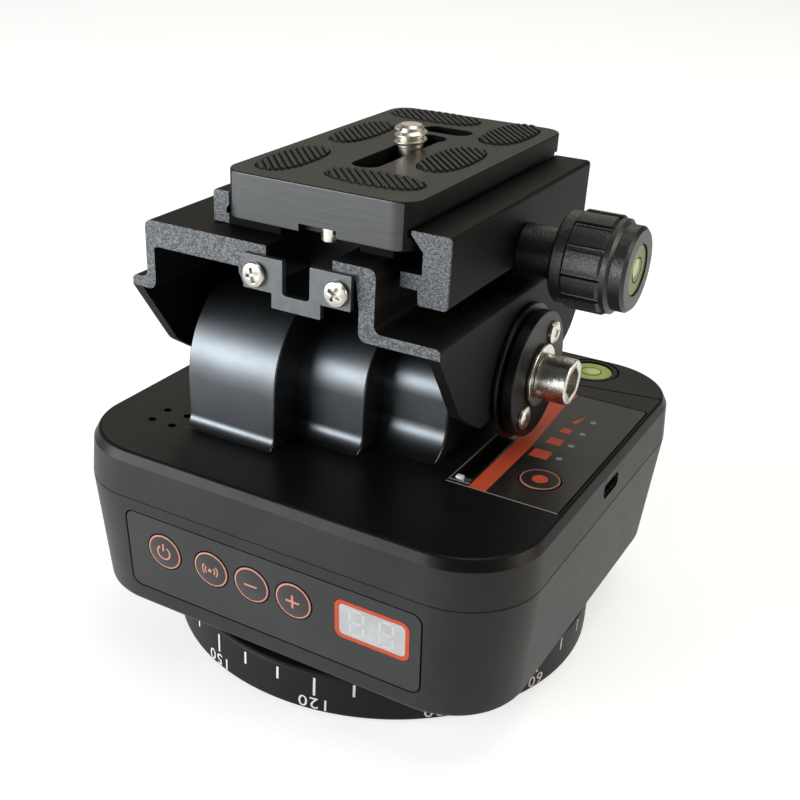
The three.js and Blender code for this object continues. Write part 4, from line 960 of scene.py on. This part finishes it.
def stop_screw_holes(front, back):
    return [moved(laid(rod(1.1, front, back, 24), ALONG_Y), x, 0, STOP_SCREW_HEIGHT)
            for x, turn in STOP_SCREWS.values()]


def blasted_ends(form, reach, left_of=math.inf, worn=True):
    """Paints the ends beyond reach, softens their edges, and breaks the other edges."""
    form = painted(form, 1, lambda at, facing: (
        abs(facing.y) > 0.9 and abs(at.y) > reach and at.x < left_of))
    form = broken(form, 0.24, 30, 1, lambda edge: (
        {face.material_index for face in edge.link_faces} == {0, 1}))
    return broken(form, 0.14, 30, 2 if worn else 0, lambda edge: (
        all(face.material_index == 0 for face in edge.link_faces)))


def cross_cuts(reach, half, low, high, turn):
    """The two blades of a cross recess."""
    return [turned_about(block(-reach, reach, -half, half, low, high), "Z", turn + more)
            for more in (0, 90)]


def build_stop_plate():
    back = -BRACKET_HALF - 0.1
    corners = [
        (-10.9, 81.6, 0.2), (-5, 81.6), (-5, 78.9, 0.2), (5, 78.9, 0.2), (5, 81.6),
        (10.9, 81.6, 0.2), (10.9, 87.8, 0.2), (2.75, 87.8, 0.2), (2.75, 81.6, 0.8),
        (-2.75, 81.6, 0.8), (-2.75, 87.8, 0.2), (-10.9, 87.8, 0.2),
    ]
    plate = laid(prism(corners, back - 1.1, back, 6), ALONG_Y)
    plate = rounded(cut(plate, *stop_screw_holes(back - 3, back + 2)), 0.06, 2, 40)
    piece("stop_plate_sheet", plate, "bracket", STAMPED, "stop_plate")
    for name, (x, turn) in STOP_SCREWS.items():
        head = turned([
            (0, -5.0), (0.9, -5.0), (0.9, 1.12), (2.2, 1.12), (2.3, 1.8), (2.1, 2.12),
            (1.6, 2.3), (0, 2.38),
        ], 48)
        screw = cut(head, *cross_cuts(1.35, 0.32, 1.6, 3, turn))
        place = (Matrix.Translation((x, -BRACKET_HALF, STOP_SCREW_HEIGHT))
                 @ Matrix.Rotation(math.radians(90), 4, "X"))
        piece("stop_screw_" + name, laid(rounded(screw, 0.05, 2, 40), place), "bracket",
              SHADED_HEADS, "stop_plate_screw_" + name)


# Tilt pivots and drive hub


def hexagon(radius, turn=0):
    return [(radius * math.cos(math.radians(60 * i + turn)),
             radius * math.sin(math.radians(60 * i + turn))) for i in range(6)]


def build_pivots():
    disc = turned([
        (2.8, -34.6), (13.5, -34.6), (13.5, -33.0), (9, -33.0), (9, -29.2), (4.6, -29.2),
        (4.6, -27.1), (2.8, -27.1),
    ], 96)
    piece("pivot_flange", crosswise(broken(disc, 0.25, index=1)), "housing",
          [KNOB, EDGE], "pivot_disc")
    bolt = turned([
        (0, -39.4), (4.4, -39.4), (5.0, -38.7), (5.0, -37.2), (2.5, -37.2), (2.5, -29.1),
        (0, -29.1),
    ], 64)
    socket = turned_about(prism(hexagon(2.3), -41, -38.2), "Z", 10)
    bolt = rounded(cut(bolt, socket), 0.12, 2, 40)
    piece("pivot_screw", crosswise(bolt), "bracket", NICKEL, "pivot_bolt")
    bush = turned([
        (2.5, 17.6), (3.5, 17.6), (3.5, 19.7), (6, 19.7), (6, 21.5), (3.5, 21.5), (3.5, 24.9),
        (2.5, 24.9),
    ], 64)
    piece("drive_bush", crosswise(rounded(bush, 0.15, 2)), "housing", BRASS,
          "tilt_bush")
    hub = turned([
        (2.5, 27.5), (13.4, 27.5), (13.4, 28.5), (11, 28.5), (11, 29), (12.4, 29), (12.4, 31.2),
        (2.5, 31.2),
    ], 128)
    wells = [moved(rod(1.5, 26, 33, 32), turn * HUB_SCREW[0], turn * HUB_SCREW[1])
             for turn in (-1, 1)]
    hub = cut(rounded(hub, 0.3, 3), *wells)
    piece("drive_hub", crosswise(hub), "bracket", HUB, "tilt_hub")
    for name, turn in (("low", -1), ("high", 1)):
        head = turned([
            (0, 25.2), (1.2, 25.2), (1.2, 31.3), (2.3, 31.3), (2.25, 31.8), (1.7, 32.1), (0, 32.1),
        ], 40)
        head = moved(cut(head, *cross_cuts(1.15, 0.22, 31.6, 33, 20)),
                     turn * HUB_SCREW[0] - 0.3, turn * HUB_SCREW[1])
        piece("hub_bolt_" + name, crosswise(head), "bracket", STRUCK,
              "hub_screw_" + name)
    washer = ring_band(1.7, 6.1, 31.3, 32.1, 96)
    piece("washer", crosswise(rounded(washer, 0.18, 3)), "bracket", NICKEL,
          "hub_washer")
    bolt = turned([
        (0, 25.4), (1.4, 25.4), (1.4, 32.15), (4.45, 32.15), (4.45, 38.2), (0, 38.2),
    ], 96)
    bolt = rounded(bolt, 0.35, 4, 60)
    bolt = rounded(cut(bolt, prism(hexagon(3.05, 12), 34.0, 40)), 0.1, 2, 40)
    piece("drive_bolt", crosswise(bolt), "bracket", STRUCK, "hub_bolt")


# Quick release clamp


def build_clamp():
    base = laid(prism([
        (-22.6, 89.5), (14.5, 89.5), (14.5, 91.4), (-19.7, 91.4), (-19.7, 92.2), (-18, 94.2),
        (-18, 94.8, 0.3), (-18.6, 95.3, 0.3), (-22.6, 95.3, 0.6),
    ], -30, 30, 6), ALONG_Y)
    base = cut(base, block(-8, 8, -31, 22, 88, 93))
    lip = -19.2
    bmesh.ops.bisect_plane(
        base, geom=[*base.verts, *base.edges, *base.faces], plane_co=(lip, 0, 0),
        plane_no=(1, 0, 0))
    base = blasted_ends(base, 29.9, lip, False)
    # Painted shade: the bed's end faces right of the jaw's lip are painted near black for the
    # shadow under the plate.
    base = painted(base, 2, lambda at, facing: abs(facing.y) > 0.9 and at.x > lip)
    piece("clamp_bed", base, "bracket", [BLACK, ROUGH, DARK_AND_PAINTED_SHADE], "clamp_base",
          sharp=40)
    jaw = laid(prism([
        (18, 95.3, 0.2), (18, 94.6), (20.4, 91.9), (20.4, 88.1), (16.4, 88.1), (16.4, 85.3),
        (19.7, 85.3), (20, 82.7, 0.3), (25.6, 82.7, 0.8), (25.6, 95.3, 0.8),
    ], -31, 31, 8), ALONG_Y)
    tools = [crosswise(rod(3.1, 15, 27, 32), KNOB_AXIS)]
    tools += [crosswise(rod(1.15, 15, 24.2, 24), PIN_HEIGHT, y) for y in PINS]
    jaw = blasted_ends(cut(jaw, *tools), 30.9)
    piece("jaw_extrusion", jaw, "jaw", [BLACK, ROUGH, EDGE], "movable_jaw",
          sharp=40)


FLUTES = 12


def build_knob():
    neck, rim, grip, outer, cap, end = 25.9, 33.5, 35.9, 43.1, 44.5, 47.2
    recess, radius = end - 2.9, 8.9
    body = turned([
        (3.1, neck), (4.7, neck), (4.7, rim), (7.9, rim), (8.4, rim + 0.5), (8.4, grip),
        (radius, grip + 0.5), (radius, outer - 0.5), (8.5, outer), (8.5, cap - 0.5), (7.7, cap),
        (7.7, end - 0.6), (7.1, end), (4.7, end), (4.7, recess), (0, recess), (0, neck + 5),
        (3.1, neck + 5), (3.1, neck),
    ], 144)
    flutes = []
    for i in range(FLUTES):
        groove = prism([
            (radius - 0.9, -0.65, 0.3), (radius + 1, -0.65), (radius + 1, 0.65),
            (radius - 0.9, 0.65, 0.3),
        ], grip, outer, 3)
        flutes.append(turned_about(groove, "Z", 360 / FLUTES * i))
    body = broken(cut(body, *flutes), 0.16, 40, 1)
    piece("knob_body", crosswise(body, KNOB_AXIS), "knob", [KNOB, EDGE],
          "clamp_knob")
    build_vial("knob", "knob", 4.6, recess + 0.1, end - 0.25,
               Matrix.Translation((0, 0, KNOB_AXIS)) @ ALONG_X, "knob_level_vial", (-0.9, 0.7),
               DEEP_LIME)


# Quick release plate


PADS = (  # centre, and half its size along x and y
    (-12.7, -18.9, 4.3, 9.7), (6.2, -22.6, 9.5, 4.3), (-13, 6.3, 4, 10),
    (11, -2.6, 4.5, 10), (-7.4, 26.8, 10, 4.4), (11.5, 22, 4.5, 9.7),
)
PAD_POINTS = 56
PAD_POWER = 2.5
STOP_AT = (2.3, -30.1)


def pad_outline(pad, inset):
    """The pad's outline, between an ellipse and a rectangle."""
    x, y, across, deep = pad
    corners = []
    for i in range(PAD_POINTS):
        angle = 2 * math.pi * i / PAD_POINTS
        side, up = math.cos(angle), math.sin(angle)
        reach = (abs(side) ** PAD_POWER + abs(up) ** PAD_POWER) ** (-1 / PAD_POWER)
        corners.append((x + (across - inset) * reach * side, y + (deep - inset) * reach * up))
    return corners


def ribbed_pad(pad, low, high):
    """A pad with slanted grooves cut in its top."""
    grooves = []
    for i in range(-9, 10):
        offset = i * RIB_PITCH
        groove = block(-13, 13, offset - RIB_GAP / 2, offset + RIB_GAP / 2, high - RIB_DEPTH,
                       high + 1)
        grooves.append(moved(turned_about(groove, "Z", RIB_TURN), *pad[:2]))
    form = rounded(prism(pad_outline(pad, 0.2), low, high), 0.12, 2, 60, at_height(high))
    return cut(form, join(*grooves))


def build_plate():
    low = PLATE_LOW
    plate = rounded(slab((-19, 19, -32.5, 32.5), 4.2, low, PLATE_TOP, 14), 0.3, 3, 60)
    tools = [laid(prism([
        (side * 20, low + 0.47), (side * 17.6, low + 2.7), (side * 17.6, low + 4),
        (side * 20, low + 5.54),
    ], -34, 34), ALONG_Y) for side in (-1, 1)]
    tools += [
        slab((-7.2, 7.2, -22, 22), 6, low - 1, low + 4.3),
        slab((-2.75, 2.75, -17, 10), 2.65, low + 3, low + 10, 12),
        moved(rod(3.3, low + 3, low + 10, 64), 0, 9.6),
        slab((-5.2, 5.2, 14.8, 20.2), 2.6, low + 3, low + 10, 12),
        block(-2.8, 4.7, -34, -30.5, low - 1, low + 1.5),
        moved(rod(1.8, low - 1, low + 4.1, 32), *STOP_AT),
    ]
    tools += [prism(pad_outline(pad, 0), PLATE_TOP - 1, PLATE_TOP + 1, 12) for pad in PADS]
    plate = rounded(cut(plate, *tools), 0.12, 2, 40, at_height(PLATE_TOP))
    end, endward = 31, 0.86
    plate = painted(plate, 1, lambda at, facing: abs(facing.y) > endward and abs(at.y) > end)
    # Painted shade: the long sides and rounded corners take the darker black aluminium rather than
    # the plate's own finish.
    plate = painted(plate, 3, lambda at, facing: (
        abs(facing.z) < 0.75 and abs(facing.y) <= endward
        and (abs(at.x) > 16 or abs(at.y) > end)))
    # Painted shade: the faces of the recess under the plate are painted near black.
    plate = painted(plate, 2, lambda at, facing: (
        at.z < PLATE_TOP - 0.2 and abs(at.x) < 8 and abs(at.y) < 23))
    piece("plate_body", plate, "plate", [PLATE, MILLED, DARK_AND_PAINTED_SHADE, BLACK],
          "quick_release_plate", sharp=40)
    for i, pad in enumerate(PADS, 1):
        piece(f"pad_{i}", ribbed_pad(pad, PLATE_TOP - 0.9, PLATE_TOP + 0.4), "plate",
              RUBBER, f"rubber_pad_{i}")
    pin = rounded(rod(1.7, PLATE_LOW - 1.1, PLATE_LOW + 4, 40), 0.2, 3)
    piece("safety_screw", moved(pin, *STOP_AT), "plate", NICKEL, "stop_screw")


SCREW_Y = 1.8


def build_camera_screw():
    pitch, root, crest, start, top = 1.27, 2.45, 3.1, 100.1, 104.1
    body = turned([
        (0, 92.4), (5.7, 92.4), (6, 92.7), (6, 94.6), (5.7, 94.9), (2.25, 94.9), (2.25, 99.9),
        (root, start), (root, top - 0.45), (root - 0.45, top), (0, top),
    ], 64)
    body = cut(body, block(-7, 7, -0.7, 0.7, 92, 93.4))
    section = bmesh.new()
    half, inside = pitch * 0.46, root - 0.3
    corners = [(inside, 0, -half), (root, 0, -half), (crest, 0, -0.1), (crest, 0, 0.1),
               (root, 0, half), (inside, 0, half)]
    face = section.faces.new([section.verts.new(corner) for corner in corners])
    turns, steps = 2.25, 48
    section = spun(section, [*section.verts, *section.edges, face], 360 * turns,
                   round(steps * turns), False, pitch / steps)
    thread = turned_about(moved(closed(section), z=start + pitch * 0.42), "Z", -200)
    piece("camera_bolt", moved(body, 0, SCREW_Y), "screw", WARM_STEEL, "camera_screw")
    piece("camera_thread", moved(thread, 0, SCREW_Y), "screw", WARM_STEEL)


# Solids of the model that are shown as they are, by their paint


KEPT = (
    (STEEL, ["pan_axle", "axle_nut", "pan_bearing", "pan_motor_mount", "pan_motor",
             "tilt_motor", "tilt_shaft", "jaw_pin_front", "jaw_pin_back", "clamp_screw",
             "screw_washer"]),
    (BRASS, ["pan_pinion", "tilt_gearbox"]), (CIRCUIT, ["button_board", "control_board"]),
    (PALE, ["pan_gear"]), (CELLS, ["battery"]), (KNOB, ["buzzer"]),
)

for paint, nodes in KEPT:
    for node in nodes:
        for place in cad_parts[node].material_slots:
            place.material = paint

build_dial()
build_shell()
build_cover()
build_panel()
build_top()
build_bracket()
build_stop_plate()
build_pivots()
build_clamp()
build_knob()
build_plate()
build_camera_screw()


# Camera, light and floor


LIT_HEIGHT = 55
FLOOR_DROP = -0.2
FLOOR_GLOW = 0.66
SKY_LIGHT = 0.13
CAMERA_AT = (102.729, -196.120, 152.750)
CAMERA_TURN = (60.8432, -1.4017, 31.3909)


def floor_paint():
    """Pale floor, seen white and still shaded, that gives back less light than it shows."""
    paint = Paint("pale_floor", Specular_IOR_Level=0.2)
    tone = paint.grain(60, 3)
    fine = paint.grain(2, 2)
    paint.feed("Base Color", paint.blend(tone, grey(0.56), grey(0.6)))
    paint.feed("Roughness", 0.8 + (fine - 0.5) * 0.1)
    paint.feed("Emission Color", grey(1.0))
    paint.feed("Emission Strength", FLOOR_GLOW)
    plain = paint.node("ShaderNodeBsdfDiffuse", values={"Color": grey(0.5)})
    seen = paint.node("ShaderNodeLightPath", output="Is Camera Ray").socket.node
    shown = Wire(paint, seen.outputs["Is Camera Ray"])
    for kind in ("Is Glossy Ray", "Is Transmission Ray"):
        shown = shown.maths("MAXIMUM", shown, Wire(paint, seen.outputs[kind]))
    mix = paint.node(
        "ShaderNodeMixShader",
        values={0: shown, 1: plain, 2: Wire(paint, paint.shader.outputs["BSDF"])})
    paint.put(paint.tree.nodes["Material Output"].inputs["Surface"], mix)
    return paint.material


def softbox(name, direction, distance, width, height, power, colour):
    light = bpy.data.lights.new(name, "AREA")
    light.color = colour
    light.shape = "RECTANGLE"
    light.size = width
    light.size_y = height
    light.energy = power
    made = linked(name, light)
    toward = Vector(direction).normalized()
    made.location = Vector((0, 0, LIT_HEIGHT)) * MM + toward * distance
    made.rotation_euler = (-toward).to_track_quat("-Z", "Y").to_euler()


def build_stage():
    form = bmesh.new()
    bmesh.ops.create_circle(form, cap_ends=True, radius=6, segments=96)
    mesh = mesh_of(form, "floor")
    form.free()
    mesh.materials.append(floor_paint())
    floor = linked("floor", mesh)
    floor.location = (0, 0, FLOOR_DROP * MM)

    world = bpy.data.worlds.new("studio")
    world.use_nodes = True
    sky = world.node_tree.nodes["Background"]
    sky.inputs["Color"].default_value = (0.9, 0.93, 1.0, 1)
    sky.inputs["Strength"].default_value = SKY_LIGHT
    nodes, links = world.node_tree.nodes, world.node_tree.links
    backdrop = nodes.new("ShaderNodeBackground")
    backdrop.inputs["Color"].default_value = (1, 1, 1, 1)
    rays, choice = nodes.new("ShaderNodeLightPath"), nodes.new("ShaderNodeMixShader")
    links.new(rays.outputs["Is Camera Ray"], choice.inputs[0])
    links.new(sky.outputs[0], choice.inputs[1])
    links.new(backdrop.outputs[0], choice.inputs[2])
    links.new(choice.outputs[0], nodes["World Output"].inputs["Surface"])
    bpy.context.scene.world = world

    softbox("front_left", (-0.62, -0.77, 0.17), 1.0, 0.9, 0.36, 14, (0.94, 0.98, 1))
    softbox("overhead", (0.15, 0.1, 1), 1.2, 0.7, 0.7, 4.5, (1, 0.98, 0.92))
    softbox("behind", (-0.38, 0.73, 0.56), 1.4, 1.3, 0.8, 2.8, (1, 0.95, 0.8))
    softbox("right_side", (1, 0.3, 0.35), 1.3, 0.5, 0.5, 7, (1, 0.88, 0.68))

    camera = bpy.data.cameras.new("photo_view")
    camera.lens = 52.5636
    camera.sensor_width = 36
    camera.shift_x = 0.080812
    camera.shift_y = 0.093737
    camera.clip_start = 0.01
    camera.clip_end = 20
    stand = linked("photo_view", camera)
    stand.location = Vector(CAMERA_AT) * MM
    stand.rotation_euler = [math.radians(turn) for turn in CAMERA_TURN]
    bpy.context.scene.camera = stand
    bpy.context.scene.view_settings.view_transform = "Standard"


build_stage()
